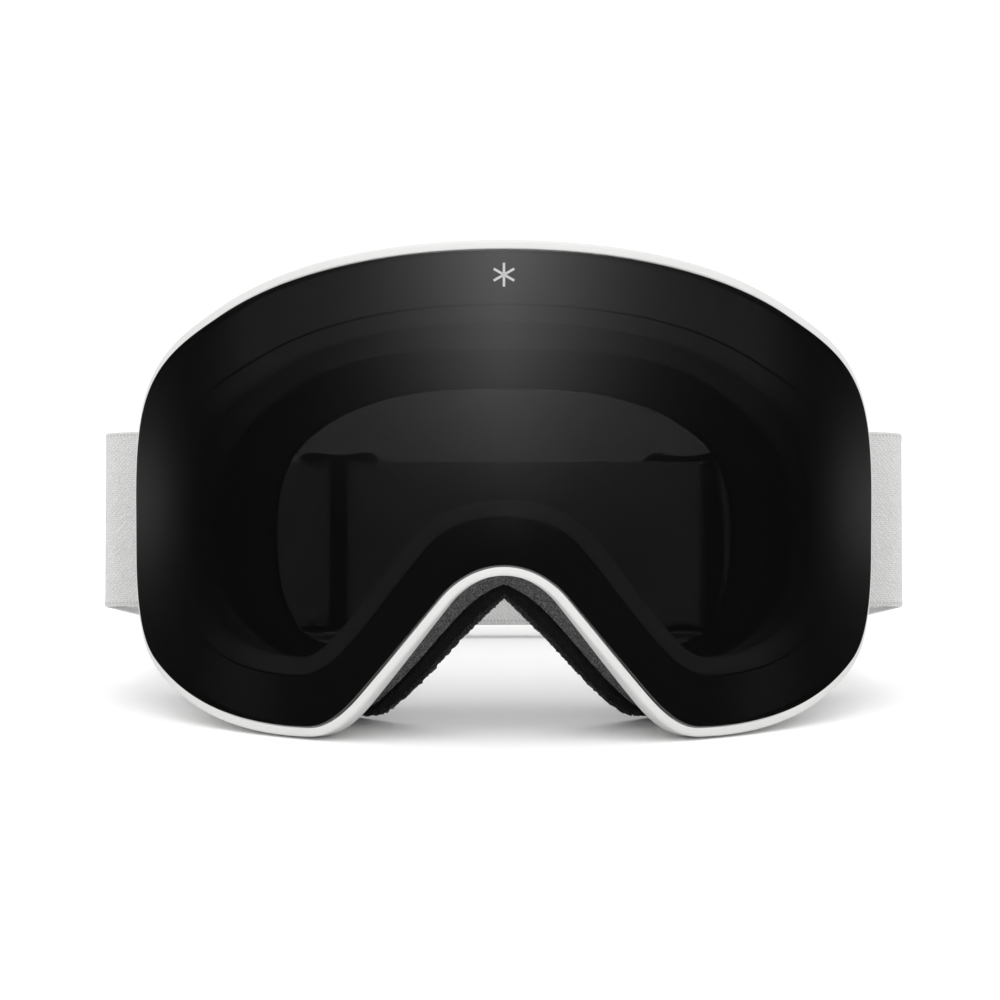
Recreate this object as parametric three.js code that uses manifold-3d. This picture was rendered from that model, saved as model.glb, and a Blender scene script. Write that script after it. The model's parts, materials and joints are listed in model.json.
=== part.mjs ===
// Ski goggles with a cylindrical lens held by magnets, on an elastic strap of two overlapping webbings.
//
// The goggles are drawn upright: x runs to the right as seen from the front, y runs from the front of the
// lens back through the wearer's head, z runs up. Outlines on the lens are drawn on its flat pattern, as an
// arc length u round the cylinder and a height z, and are then wrapped. At the end the whole is leant back
// until it stands on the two lower lobes of the rim and on the strap sliders.
import * as THREE from "three";
import { mergeVertices } from "three/addons/utils/BufferGeometryUtils.js";
import Module from "manifold-3d";

const wasm = await Module();
wasm.setup();

// ---------------------------------------------------------------- driving dimensions, in millimetres

const GAP = 0.3; // clearance between pieces that touch

const LENS_HALF_ARC = 105.4; // half the width of the flat lens
const LENS_HEIGHT = 108.7; // from the top of the lens to the bottom of its lobes
const LENS_RADIUS = 100; // outer face of the cylinder
const LENS_THICKNESS = 1.6;
const INNER_LENS_THICKNESS = 1.0;
const CARRIER_THICKNESS = 2.7; // ring bonded behind the lens, which holds the lens magnets
const SPACER_THICKNESS = 5.0; // foam between the two lenses
const SPACER_WIDTH = 4.0;

const RIM_WIDTH = 2.4; // the white edge that shows round the lens
const RIM_SETBACK = 0.7; // from the face of the lens back to the edge of the rim
const SEAT_THICKNESS = 3.0; // the ledge that the lens carrier lies against
const WALL_THICKNESS = 2.2;

const FACE_DEPTH = 29; // from the lens to the face flange, at the forehead
const FACE_BEND = 81; // the flange bends round the head as a catenary; this is its radius at the brow
const NOSE_RELIEF = 16; // how far the flange comes forward over the nose
const NOSE_HALF_WIDTH = 14;
const NOSE_FLARE = 0.5; // how fast the nose relief widens, going down
const FLANGE_THICKNESS = 2.0;

const BASE_FOAM = 8.0;
const SOFT_FOAM = 5.4;
const FLEECE = 1.6;

const STRAP_WIDTH = 42;
const STRAP_THICKNESS = 1.4;
const STRAP_BULGE = 11.8; // from the anchor bar out to the widest place of the strap
const STRAP_REAR = 168; // from the lens back to the inner webbing of the rear run
const STRAP_SLOPE = THREE.MathUtils.degToRad(3.87); // the strap runs down to the rear
const STRAP_HEIGHT = 0.3; // height of the strap's middle line, carried forward to the lens
const ANCHOR_REACH = 6.5; // from the frame's side wall out to the middle of the anchor bar
const ANCHOR_SETBACK = 3.5; // and back from the wall's rear edge
const ANCHOR_ROOT = 0.35; // place of its arms' roots along the depth of the wall
const ANCHOR_BAR_RADIUS = 1.5;
const ANCHOR_ARM = 3.2; // height and thickness of the arms that hold the anchor bar
const STRAP_SPLAY = THREE.MathUtils.degToRad(70); // heading of the strap where it leaves its anchor
const STRAP_TOE_IN = THREE.MathUtils.degToRad(7); // heading of the side runs
const STRAP_TEMPLE_BEND = 5;
const STRAP_REAR_BEND = 18;
const STRAP_TAIL = 7; // length of webbing sewn back on itself behind the anchor bar

const SLIDER_HALF_LENGTH = 10.5;
const SLIDER_BAR = 1.4; // thickness of each bar, across the webbing
const SLIDER_RAIL = 2.0; // height of the rails above and below the webbing
const SLIDER_BRIDGE_HALF = 2.2; // half the width of the middle bars
const LEFT_SLIDER_X = -42.5;
const RIGHT_SLIDER_X = 46.5;
const HEM = 8.2; // length of the sewn end beside a slider's middle bar

const MAGNET = { length: 6, height: 4.4, thickness: 1.3 };
const MAGNET_SPOTS = [
  { name: "brow", u: 22.3, z: 49.3 },
  { name: "corner", u: 60, z: 40.8 },
  { name: "temple", u: 99, z: -7 },
  { name: "cheek", u: 64, z: -44 },
]; // on the right half of the flat lens, at its drawn size

// ---------------------------------------------------------------- outlines

// Each outline is its right half, from the top centre clockwise to the middle of the nose arch. A point is
// its place across, its height, and the heading of the curve there in degrees. The five outlines have their
// points in step with each other, so a wall can run from one to another.
const OUTLINES = {
  lens: [
    [0, 56.8, 0],
    [72, 42.6, -25],
    [102.7, 19.5, -68],
    [105.4, -10, -90],
    [96, -37.5, -145],
    [47, -51.9, -180],
    [34.6, -44.9, -227],
    [15, -22.3, -229.5],
    [0, -14.8, -180],
  ],
  sight: [
    [0, 44.8, 0],
    [62, 33, -25],
    [88.5, 14, -67],
    [92.3, -8, -90],
    [83, -31, -143],
    [50, -40.6, -180],
    [39, -35.5, -223],
    [17.5, -10.8, -228],
    [0, -4.2, -180],
  ],
  flangeInner: [
    [0, 35, 0],
    [50, 26, -33],
    [65.5, 10, -68],
    [69, -8, -90],
    [61, -30, -137],
    [42.5, -38.4, -180],
    [34.5, -34, -223],
    [14.3, -12, -228],
    [0, -6.5, -180],
  ],
  flangeOuter: [
    [0, 45, 0],
    [57, 34, -33],
    [75, 13, -70],
    [78, -8, -90],
    [70, -36, -138],
    [44, -50, -180],
    [31.8, -45.4, -226],
    [12.2, -22.4, -229.5],
    [0, -16.6, -180],
  ],
  foamInner: [
    [0, 26.8, 0],
    [42, 18.5, -32],
    [52.8, 6, -72],
    [54.8, -8, -90],
    [50.5, -29, -118],
    [40, -34.6, -180],
    [34, -31.5, -226],
    [14, -9.8, -228],
    [0, -4.7, -180],
  ],
  foamOuter: [
    [0, 47, 0],
    [59, 36, -33],
    [78, 14, -70],
    [81, -8, -90],
    [72.5, -37, -138],
    [43, -49.2, -180],
    [26.8, -48.8, -214],
    [8.6, -31, -224],
    [0, -22.5, -222],
  ],
};
const DRAWN_HALF_ARC = 105.4; // the lens size that the outlines above are drawn for
const DRAWN_HEIGHT = 108.7;
const SPREAD = LENS_HALF_ARC / DRAWN_HALF_ARC;
const RISE = LENS_HEIGHT / DRAWN_HEIGHT;
const SPAN_STEPS = [9, 6, 5, 6, 7, 4, 4, 4]; // facets between neighbouring points of an outline
const SPANS = SPAN_STEPS.length;

const radians = THREE.MathUtils.degToRad;

// A cubic between two points of an outline, with handles as long as those of a circular arc would be.
function spanCurve([x0, z0, heading0], [x1, z1, heading1]) {
  const start = new THREE.Vector2(x0 * SPREAD, z0 * RISE);
  const end = new THREE.Vector2(x1 * SPREAD, z1 * RISE);
  const turn = radians(heading1 - heading0);
  const reach = start.distanceTo(end) / (3 * Math.cos(turn / 4) ** 2);
  const handle = (heading) =>
    new THREE.Vector2(Math.cos(radians(heading)), Math.sin(radians(heading))).multiplyScalar(reach);
  return new THREE.CubicBezierCurve(
    start,
    start.clone().add(handle(heading0)),
    end.clone().sub(handle(heading1)),
    end,
  );
}

const spanCurves = Object.fromEntries(
  Object.entries(OUTLINES).map(([name, points]) => [
    name,
    points.slice(1).map((point, i) => spanCurve(points[i], point)),
  ]),
);

// The point of an outline at station t, from 0 at the top centre to SPANS at the nose, moved outwards by
// offset. The left half mirrors the right, and has the stations below 0 or those past the nose.
function outlineAt(name, t, offset = 0) {
  const left = t < 0 || t > SPANS;
  const along = t < 0 ? -t : left ? 2 * SPANS - t : t;
  const span = Math.min(SPANS - 1, Math.floor(along));
  const curve = spanCurves[name][span];
  const point = curve.getPoint(along - span);
  const tangent = curve.getTangent(along - span);
  point.add(new THREE.Vector2(-tangent.y, tangent.x).multiplyScalar(offset));
  if (along === 0 || along === SPANS) point.x = 0;
  return left ? point.setX(-point.x) : point;
}

// Stations of a whole ring, clockwise from the top centre.
const halfStations = SPAN_STEPS.flatMap((steps, span) =>
  Array.from({ length: steps }, (_, i) => span + i / steps),
);
const STATIONS = [...halfStations, SPANS, ...halfStations.slice(1).reverse().map((t) => 2 * SPANS - t)];

// ---------------------------------------------------------------- the two curved surfaces

// A point of the flat lens wrapped round the cylinder, depth behind its outer face.
function lensPoint(u, z, depth) {
  const angle = u / LENS_RADIUS;
  const radius = LENS_RADIUS - depth;
  return new THREE.Vector3(radius * Math.sin(angle), LENS_RADIUS - radius * Math.cos(angle), z);
}

const onLens = (name, t, offset, depth) => {
  const p = outlineAt(name, t, offset);
  return lensPoint(p.x, p.y, depth);
};

// Where the face flange's back lies behind the lens: bent round the head, and forward over the nose.
function faceDepth(x, z) {
  const bend = FACE_BEND * (Math.cosh(x / FACE_BEND) - 1);
  const nose = THREE.MathUtils.smoothstep(-z, -6, 14);
  const halfWidth = NOSE_HALF_WIDTH + NOSE_FLARE * Math.max(0, -z);
  return FACE_DEPTH + bend - NOSE_RELIEF * nose * Math.exp(-((x / halfWidth) ** 2));
}

const onFace = (name, t, back, other = name, share = 0) => {
  const p = outlineAt(name, t).lerp(outlineAt(other, t), share);
  return new THREE.Vector3(p.x, faceDepth(p.x, p.y) + back, p.y);
};

// ---------------------------------------------------------------- making solids

// A geometry from points and triangles, with shared points joined, collapsed triangles dropped and its faces
// turned outwards.
function closedGeometry(points, triangles) {
  const positions = new Float32Array(points.flatMap((p) => [p.x, p.y, p.z]));
  const raw = new THREE.BufferGeometry()
    .setAttribute("position", new THREE.BufferAttribute(positions, 3))
    .setIndex(triangles);
  return facingOut(mergeVertices(raw, 1e-3));
}

function facingOut(geometry) {
  const at = geometry.getAttribute("position");
  const index = Array.from(geometry.index.array);
  const kept = [];
  let volume = 0;
  for (let i = 0; i < index.length; i += 3) {
    const corner = index.slice(i, i + 3);
    if (new Set(corner).size < 3) continue;
    const [a, b, c] = corner.map((k) => new THREE.Vector3().fromBufferAttribute(at, k));
    volume += a.dot(b.cross(c));
    kept.push(...corner);
  }
  return geometry.setIndex(volume < 0 ? kept.reverse() : kept);
}

// A skin over sections that have equally many points: joined into a ring, or closed at both ends by a fan
// from the middle of the end section. Each four-sided facet is split along its shorter diagonal, so that
// two layers that lie on each other are split alike.
function loft(sections, ring) {
  const middle = (section) =>
    section.reduce((sum, p) => sum.add(p), new THREE.Vector3()).divideScalar(section.length);
  const cap = (section) => section.map(() => middle(section));
  const rows = ring ? sections : [cap(sections[0]), ...sections, cap(sections.at(-1))];
  const points = rows.flat();
  const size = rows[0].length;
  const bands = ring ? rows.length : rows.length - 1;
  const triangles = [];
  for (let row = 0; row < bands; row++) {
    for (let k = 0; k < size; k++) {
      const a = row * size + k;
      const b = row * size + ((k + 1) % size);
      const c = ((row + 1) % rows.length) * size + k;
      const d = ((row + 1) % rows.length) * size + ((k + 1) % size);
      const straight = points[a].distanceTo(points[d]) < points[b].distanceTo(points[c]);
      triangles.push(...(straight ? [a, b, d, a, d, c] : [a, b, c, b, d, c]));
    }
  }
  return closedGeometry(points, triangles);
}

function toSolid(geometry) {
  const bare = new THREE.BufferGeometry().setAttribute("position", geometry.getAttribute("position"));
  if (geometry.index) bare.setIndex(geometry.index);
  const merged = facingOut(mergeVertices(bare, 1e-3));
  return new wasm.Manifold(
    new wasm.Mesh({
      numProp: 3,
      vertProperties: merged.getAttribute("position").array,
      triVerts: new Uint32Array(merged.index.array),
    }),
  );
}

function toGeometry(solid) {
  const mesh = solid.getMesh();
  return new THREE.BufferGeometry()
    .setAttribute("position", new THREE.BufferAttribute(mesh.vertProperties, 3))
    .setIndex(new THREE.BufferAttribute(mesh.triVerts, 1));
}

// A box between two corners.
function block(low, high) {
  const size = new THREE.Vector3().subVectors(high, low);
  const middle = new THREE.Vector3().addVectors(low, high).multiplyScalar(0.5);
  return new THREE.BoxGeometry(size.x, size.y, size.z).translate(middle.x, middle.y, middle.z);
}

// ---------------------------------------------------------------- materials

const finish = (color, roughness, metalness = 0) =>
  new THREE.MeshStandardMaterial({ color, roughness, metalness });
const WHITE_FRAME = finish(0xe9e9e7, 0.45);
const SMOKE_LENS = finish(0x0b0b0c, 0.06);
const CLEAR_LENS = finish(0x2a2b2d, 0.1);
const BLACK_PLASTIC = finish(0x17181a, 0.5);
const PALE_PLASTIC = finish(0xcbcbc9, 0.45);
const SPACER_FOAM = finish(0xadadab, 0.9);
const GREY_FOAM = finish(0x4a4a4c, 0.95);
const BLACK_FOAM = finish(0x1c1c1e, 0.95);
const BLACK_FLEECE = finish(0x121214, 1);
const STEEL = finish(0x8c8f94, 0.35, 1);
const WHITE_WEBBING = finish(0xd6d6d4, 0.9);

const goggles = new THREE.Group();
const strap = new THREE.Group();
strap.position.z = STRAP_HEIGHT;
strap.rotation.x = -STRAP_SLOPE;
goggles.add(strap);

function place(parent, name, geometry, material) {
  const mesh = new THREE.Mesh(geometry, material);
  mesh.name = name;
  parent.add(mesh);
  return mesh;
}

// ---------------------------------------------------------------- depths behind the face of the lens

const CARRIER_FRONT = LENS_THICKNESS + GAP;
const CARRIER_BACK = CARRIER_FRONT + CARRIER_THICKNESS;
const SEAT_FRONT = CARRIER_BACK + GAP;
const SEAT_BACK = SEAT_FRONT + SEAT_THICKNESS;
const SPACER_BACK = CARRIER_FRONT + SPACER_THICKNESS;
const INNER_LENS_FRONT = SPACER_BACK + GAP;
const EDGE_CLEARANCE = 0.4; // between the lens assembly and the frame round it

// ---------------------------------------------------------------- lenses

// A lens is cut in upright strips at the corners of its outline, so that each strip ends on the outline.
const NARROWEST_STRIP = 0.4;
function lensSheet(outline, inset, front, thickness) {
  const edge = STATIONS.map((t) => outlineAt(outline, t, -inset));
  const tip = edge.reduce((widest, p) => (p.x > widest.x ? p : widest));
  const crossings = (u) => {
    const heights = edge.flatMap((p, i) => {
      const q = edge[(i + 1) % edge.length];
      return (p.x <= u) === (q.x <= u) ? [] : [p.y + ((u - p.x) / (q.x - p.x)) * (q.y - p.y)];
    });
    return [Math.max(...heights), Math.min(...heights)];
  };
  const cuts = edge.map((p) => p.x).filter((u) => u > 0 && tip.x - u > NARROWEST_STRIP);
  const right = [...cuts, tip.x]
    .sort((a, b) => a - b)
    .filter((u, i, all) => i === 0 || u - all[i - 1] > NARROWEST_STRIP);
  const sections = [...right.map((u) => -u).reverse(), 0, ...right].map((u) => {
    const [top, bottom] = Math.abs(u) === tip.x ? [tip.y, tip.y] : crossings(u);
    return [
      lensPoint(u, top, front),
      lensPoint(u, bottom, front),
      lensPoint(u, bottom, front + thickness),
      lensPoint(u, top, front + thickness),
    ];
  });
  return loft(sections, false);
}

place(goggles, "outer_lens", lensSheet("lens", 0, 0, LENS_THICKNESS), SMOKE_LENS);
const innerLens = lensSheet("sight", EDGE_CLEARANCE, INNER_LENS_FRONT, INNER_LENS_THICKNESS);
place(goggles, "inner_lens", innerLens, CLEAR_LENS);

const lensSpacer = loft(
  STATIONS.map((t) => [
    onLens("sight", t, -EDGE_CLEARANCE, CARRIER_FRONT),
    onLens("sight", t, -EDGE_CLEARANCE, SPACER_BACK),
    onLens("sight", t, -EDGE_CLEARANCE - SPACER_WIDTH, SPACER_BACK),
    onLens("sight", t, -EDGE_CLEARANCE - SPACER_WIDTH, CARRIER_FRONT),
  ]),
  true,
);
place(goggles, "lens_spacer", lensSpacer, SPACER_FOAM);

// ---------------------------------------------------------------- magnets

// A magnet's place on the lens cylinder, as a matrix for its box.
function magnetMatrix(spot, side, depth) {
  const u = side * spot.u * SPREAD;
  const turn = new THREE.Matrix4().makeRotationZ(u / LENS_RADIUS);
  return turn.setPosition(lensPoint(u, spot.z * RISE, depth));
}

const SIDES = [
  { name: "left", sign: -1 },
  { name: "right", sign: 1 },
];
const MAGNET_RECESS = 0.1; // from a meeting face back to its magnets
const LENS_MAGNET_DEPTH = CARRIER_BACK - MAGNET_RECESS - MAGNET.thickness / 2;
const FRAME_MAGNET_DEPTH = SEAT_FRONT + MAGNET_RECESS + MAGNET.thickness / 2;

// Pockets that leave GAP all round the magnets, open to the meeting faces, which lie behind the lens magnets
// and in front of the frame's.
function magnetPockets(depth, towardsOpenFace) {
  const mouth = MAGNET_RECESS + GAP;
  const pocket = new THREE.BoxGeometry(
    MAGNET.length + 2 * GAP,
    MAGNET.thickness + GAP + mouth,
    MAGNET.height + 2 * GAP,
  ).translate(0, (towardsOpenFace * (mouth - GAP)) / 2, 0);
  return SIDES.flatMap(({ sign }) =>
    MAGNET_SPOTS.map((spot) => toSolid(pocket.clone().applyMatrix4(magnetMatrix(spot, sign, depth)))),
  );
}

function addMagnets(owner, depth) {
  for (const { name: side, sign } of SIDES) {
    for (const spot of MAGNET_SPOTS) {
      const box = new THREE.BoxGeometry(MAGNET.length, MAGNET.thickness, MAGNET.height);
      const magnet = place(goggles, `${owner}_magnet_${spot.name}_${side}`, box, STEEL);
      magnet.applyMatrix4(magnetMatrix(spot, sign, depth));
    }
  }
}
addMagnets("lens", LENS_MAGNET_DEPTH);
addMagnets("frame", FRAME_MAGNET_DEPTH);

const carrierRing = loft(
  STATIONS.map((t) => [
    onLens("lens", t, -0.6, CARRIER_FRONT),
    onLens("lens", t, -0.6, CARRIER_BACK),
    onLens("sight", t, 0, CARRIER_BACK),
    onLens("sight", t, 0, CARRIER_FRONT),
  ]),
  true,
);
const lensCarrier = magnetPockets(LENS_MAGNET_DEPTH, 1).reduce(
  (ring, pocket) => ring.subtract(pocket),
  toSolid(carrierRing),
);
place(goggles, "lens_carrier", toGeometry(lensCarrier), PALE_PLASTIC);

// ---------------------------------------------------------------- frame

const WALL_SHARE = WALL_THICKNESS / 9; // the flange is about 9 mm wide, and the wall stands on its outer edge
const wallInner = [
  (t) => onLens("lens", t, RIM_WIDTH - WALL_THICKNESS - 1, SEAT_BACK),
  (t) => onFace("flangeOuter", t, -FLANGE_THICKNESS, "flangeInner", WALL_SHARE),
];
const wallOuter = [
  (t) => onLens("lens", t, RIM_WIDTH, SEAT_BACK - 1),
  (t) => onFace("flangeOuter", t, 0),
];

const frameRing = loft(
  STATIONS.map((t) => [
    onLens("lens", t, RIM_WIDTH, RIM_SETBACK + 0.5),
    onLens("lens", t, EDGE_CLEARANCE, RIM_SETBACK),
    onLens("lens", t, EDGE_CLEARANCE, SEAT_FRONT),
    onLens("sight", t, 0.5, SEAT_FRONT),
    onLens("sight", t, 0.5, SEAT_BACK),
    wallInner[0](t),
    wallInner[1](t),
    onFace("flangeInner", t, -FLANGE_THICKNESS),
    onFace("flangeInner", t, 0),
    wallOuter[1](t),
    wallOuter[0](t),
  ]),
  true,
);

// A patch beside the frame's wall between two stations: it covers the wall from share k0 to k1 of its depth,
// and lies between near and far inwards of the wall's inner face.
function wallPatch([t0, t1], [k0, k1], [near, far], steps) {
  const sections = Array.from({ length: steps + 1 }, (_, i) => {
    const t = t0 + ((t1 - t0) * i) / steps;
    const [front, back] = wallInner.map((at) => at(t));
    const ahead = wallInner[0](t + 0.01);
    const inward = new THREE.Vector3()
      .crossVectors(new THREE.Vector3().subVectors(back, front), ahead.sub(front))
      .normalize();
    const corner = (k, reach) => front.clone().lerp(back, k).addScaledVector(inward, reach);
    return [corner(k0, near), corner(k1, near), corner(k1, far), corner(k0, far)];
  });
  return loft(sections, false);
}

const mirrored = (geometry) => geometry.clone().applyMatrix4(new THREE.Matrix4().makeScale(-1, 1, 1));

const VENTS = [
  [0.06, 0.27],
  [0.34, 0.55],
  [0.62, 0.83],
  [4.3, 4.5],
  [4.58, 4.78],
]; // stations of the vents in the right half of the wall
const ventCutters = VENTS.flatMap((stations) => {
  const cutter = wallPatch(stations, [0.3, 0.72], [3, -7], 3);
  return [cutter, mirrored(cutter)];
});

// The strap anchor on the right: an upright bar on two arms that grow out of the frame's side wall.
const wallPoint = (t, share) => wallOuter[0](t).lerp(wallOuter[1](t), share);
const wallAtBar = wallPoint(3, 1);
const anchorBar = new THREE.Vector2(wallAtBar.x + ANCHOR_REACH, wallAtBar.y + ANCHOR_SETBACK);
const anchorHeight = STRAP_WIDTH / 2 + 2 * GAP + ANCHOR_ARM / 2;
strap.updateMatrix();

// An arm from the wall to one end of the bar, rooted where the wall is as high as that end.
function anchorArm(end) {
  const tip = new THREE.Vector3(anchorBar.x, anchorBar.y, end * anchorHeight).applyMatrix4(strap.matrix);
  const sideStations = Array.from({ length: 101 }, (_, i) => 1.5 + (3 * i) / 100);
  const roots = sideStations.map((t) => wallPoint(t, ANCHOR_ROOT));
  const root = roots.reduce((best, p) => (Math.abs(p.z - tip.z) < Math.abs(best.z - tip.z) ? p : best));
  const run = new THREE.Vector3(tip.x - root.x, tip.y - root.y, 0).normalize();
  const across = new THREE.Vector3(-run.y, run.x, 0).multiplyScalar(ANCHOR_ARM / 2);
  const up = new THREE.Vector3(0, 0, ANCHOR_ARM / 2);
  const section = (middle) => [
    middle.clone().add(across).add(up),
    middle.clone().sub(across).add(up),
    middle.clone().sub(across).sub(up),
    middle.clone().add(across).sub(up),
  ];
  const inner = root.addScaledVector(run, -WALL_THICKNESS / 2);
  const outer = tip.addScaledVector(run, ANCHOR_BAR_RADIUS);
  return loft([section(inner), section(outer)], false);
}
const anchorRod = new THREE.CylinderGeometry(ANCHOR_BAR_RADIUS, ANCHOR_BAR_RADIUS, 2 * anchorHeight, 16)
  .rotateX(Math.PI / 2)
  .translate(anchorBar.x, anchorBar.y, 0)
  .applyMatrix4(strap.matrix);
const anchors = [anchorArm(1), anchorArm(-1), anchorRod]
  .flatMap((piece) => [piece, mirrored(piece)])
  .map(toSolid);

let frame = toSolid(frameRing);
for (const anchor of anchors) frame = frame.add(anchor);
for (const cutter of ventCutters) frame = frame.subtract(toSolid(cutter));
for (const pocket of magnetPockets(FRAME_MAGNET_DEPTH, -1)) frame = frame.subtract(pocket);
place(goggles, "frame", toGeometry(frame), WHITE_FRAME);

// Thin filter foam behind the vents.
const FILTER = [0.5, 2.8]; // from the wall's inner face
const topFilter = wallPatch([-0.88, 0.88], [0.2, 0.82], FILTER, 22);
place(goggles, "vent_filter_top", topFilter, BLACK_FOAM);
const cheekFilter = wallPatch([4.24, 4.84], [0.2, 0.82], FILTER, 8);
place(goggles, "vent_filter_cheek_right", cheekFilter, BLACK_FOAM);
place(goggles, "vent_filter_cheek_left", facingOut(mirrored(cheekFilter)), BLACK_FOAM);

// ---------------------------------------------------------------- face foam

// A layer of the face foam between two shares of its depth. Its outer side leans out from the flange to the
// fleece, and its inner side stays on one outline.
const FOAM_DEPTH = BASE_FOAM + SOFT_FOAM + FLEECE;
function foamLayer(front, thickness) {
  const outer = (t, back) => onFace("flangeOuter", t, back, "foamOuter", back / FOAM_DEPTH);
  return loft(
    STATIONS.map((t) => [
      onFace("foamInner", t, front),
      outer(t, front),
      outer(t, front + thickness),
      onFace("foamInner", t, front + thickness),
    ]),
    true,
  );
}
place(goggles, "foam_base_layer", foamLayer(GAP, BASE_FOAM - GAP), GREY_FOAM);
place(goggles, "foam_soft_layer", foamLayer(BASE_FOAM + GAP, SOFT_FOAM - GAP), BLACK_FOAM);
place(goggles, "fleece_liner", foamLayer(BASE_FOAM + SOFT_FOAM + GAP, FLEECE - GAP), BLACK_FLEECE);

// ---------------------------------------------------------------- strap

// Two webbings overlap behind the head. The left one lies inside and is sewn to the right slider, the right
// one lies outside and is sewn to the left slider, and each runs through the slider on its own side.
const HALF = STRAP_THICKNESS / 2;
const HEM_STEP = 2 * HALF + 2 * GAP + SLIDER_BAR; // from a webbing to its own end, turned round a bar
const LAYER_STEP = HEM_STEP + 2 * HALF + GAP; // from the inner webbing to the outer one
const OUTER_REAR = STRAP_REAR + LAYER_STEP;
const SIDE_SPLIT = 0.55; // share of the straight side run that stretches with the side piece

// A length of webbing on edge: its plan is the path widened by the thickness.
function webbing(points) {
  const sides = points.map((p, i) => {
    const before = points[Math.max(0, i - 1)];
    const after = points[Math.min(points.length - 1, i + 1)];
    const along = after.clone().sub(before).normalize();
    return new THREE.Vector2(-along.y, along.x).multiplyScalar(HALF);
  });
  const outline = [
    ...points.map((p, i) => p.clone().add(sides[i])),
    ...points.map((p, i) => p.clone().sub(sides[i])).reverse(),
  ];
  return new THREE.ExtrudeGeometry(new THREE.Shape(outline), {
    depth: STRAP_WIDTH,
    bevelEnabled: false,
  }).translate(0, 0, -STRAP_WIDTH / 2);
}

// Points of an arc, from one angle to another.
const arc = (centre, radius, from, to, steps) =>
  Array.from({ length: steps + 1 }, (_, i) => {
    const angle = from + ((to - from) * i) / steps;
    return centre.clone().add(new THREE.Vector2(Math.cos(angle), Math.sin(angle)).multiplyScalar(radius));
  });

// The right half of a webbing, from its tail behind the anchor bar to the start of the straight rear run,
// in two pieces that meet in the straight side run.
function webbingPaths(rear) {
  const away = new THREE.Vector2(Math.sin(STRAP_SPLAY), Math.cos(STRAP_SPLAY));
  const outward = new THREE.Vector2(Math.cos(STRAP_SPLAY), -Math.sin(STRAP_SPLAY));
  const toeIn = new THREE.Vector2(Math.cos(STRAP_TOE_IN), Math.sin(STRAP_TOE_IN));
  const bar = anchorBar;
  const wrap = ANCHOR_BAR_RADIUS + GAP + HALF;
  const bend = STRAP_TEMPLE_BEND;
  const lead = (STRAP_BULGE - HALF - bend - outward.x * (wrap - bend)) / away.x;
  const temple = bar.clone().addScaledVector(outward, wrap - bend).addScaledVector(away, lead);
  const sideStart = temple.clone().addScaledVector(toeIn, bend);
  const sideLength = (rear - STRAP_REAR_BEND * (1 - toeIn.y) - sideStart.y) / toeIn.x;
  const sidePoint = (s) => new THREE.Vector2(sideStart.x - toeIn.y * s, sideStart.y + toeIn.x * s);
  const rearCentre = sidePoint(sideLength).addScaledVector(toeIn, -STRAP_REAR_BEND);
  return {
    side: [
      bar.clone().addScaledVector(outward, -wrap).addScaledVector(away, STRAP_TAIL),
      ...arc(bar, wrap, Math.PI - STRAP_SPLAY, 2 * Math.PI - STRAP_SPLAY, 8),
      ...arc(temple, bend, -STRAP_SPLAY, STRAP_TOE_IN, 6),
      sidePoint(sideLength * SIDE_SPLIT),
    ],
    corner: [
      sidePoint(sideLength * SIDE_SPLIT + GAP),
      ...arc(rearCentre, STRAP_REAR_BEND, STRAP_TOE_IN, Math.PI / 2, 10),
    ],
  };
}

// The end of a webbing round a slider's middle bar, in the frame of the slider: its run, the fold and the
// part sewn back.
function hemPath() {
  const run = -LAYER_STEP / 2;
  const fold = new THREE.Vector2(SLIDER_BRIDGE_HALF, run + HEM_STEP / 2);
  return [
    new THREE.Vector2(-HEM, run),
    ...arc(fold, HEM_STEP / 2, -Math.PI / 2, Math.PI / 2, 8),
    new THREE.Vector2(0.6 - HEM, run + HEM_STEP),
  ];
}

const flip = (points) => points.map((p) => new THREE.Vector2(-p.x, p.y)).reverse();
const leftPaths = webbingPaths(STRAP_REAR);
const rightPaths = webbingPaths(OUTER_REAR);
const leftEnd = new THREE.Vector2(RIGHT_SLIDER_X - HEM - GAP, STRAP_REAR);
const rightEnd = new THREE.Vector2(LEFT_SLIDER_X + HEM + GAP, OUTER_REAR);
place(strap, "strap_left_side", webbing(flip(leftPaths.side)), WHITE_WEBBING);
place(strap, "strap_left_rear", webbing([leftEnd, ...flip(leftPaths.corner)]), WHITE_WEBBING);
place(strap, "strap_right_side", webbing(rightPaths.side), WHITE_WEBBING);
place(strap, "strap_right_rear", webbing([...rightPaths.corner, rightEnd]), WHITE_WEBBING);

// ---------------------------------------------------------------- sliders

const SLIDER_HALF_HEIGHT = STRAP_WIDTH / 2 + GAP + 0.1 + SLIDER_RAIL;
const SLIDER_BACK = LAYER_STEP / 2 + HALF + GAP + SLIDER_BAR; // from its middle to the back of its bridge

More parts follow.
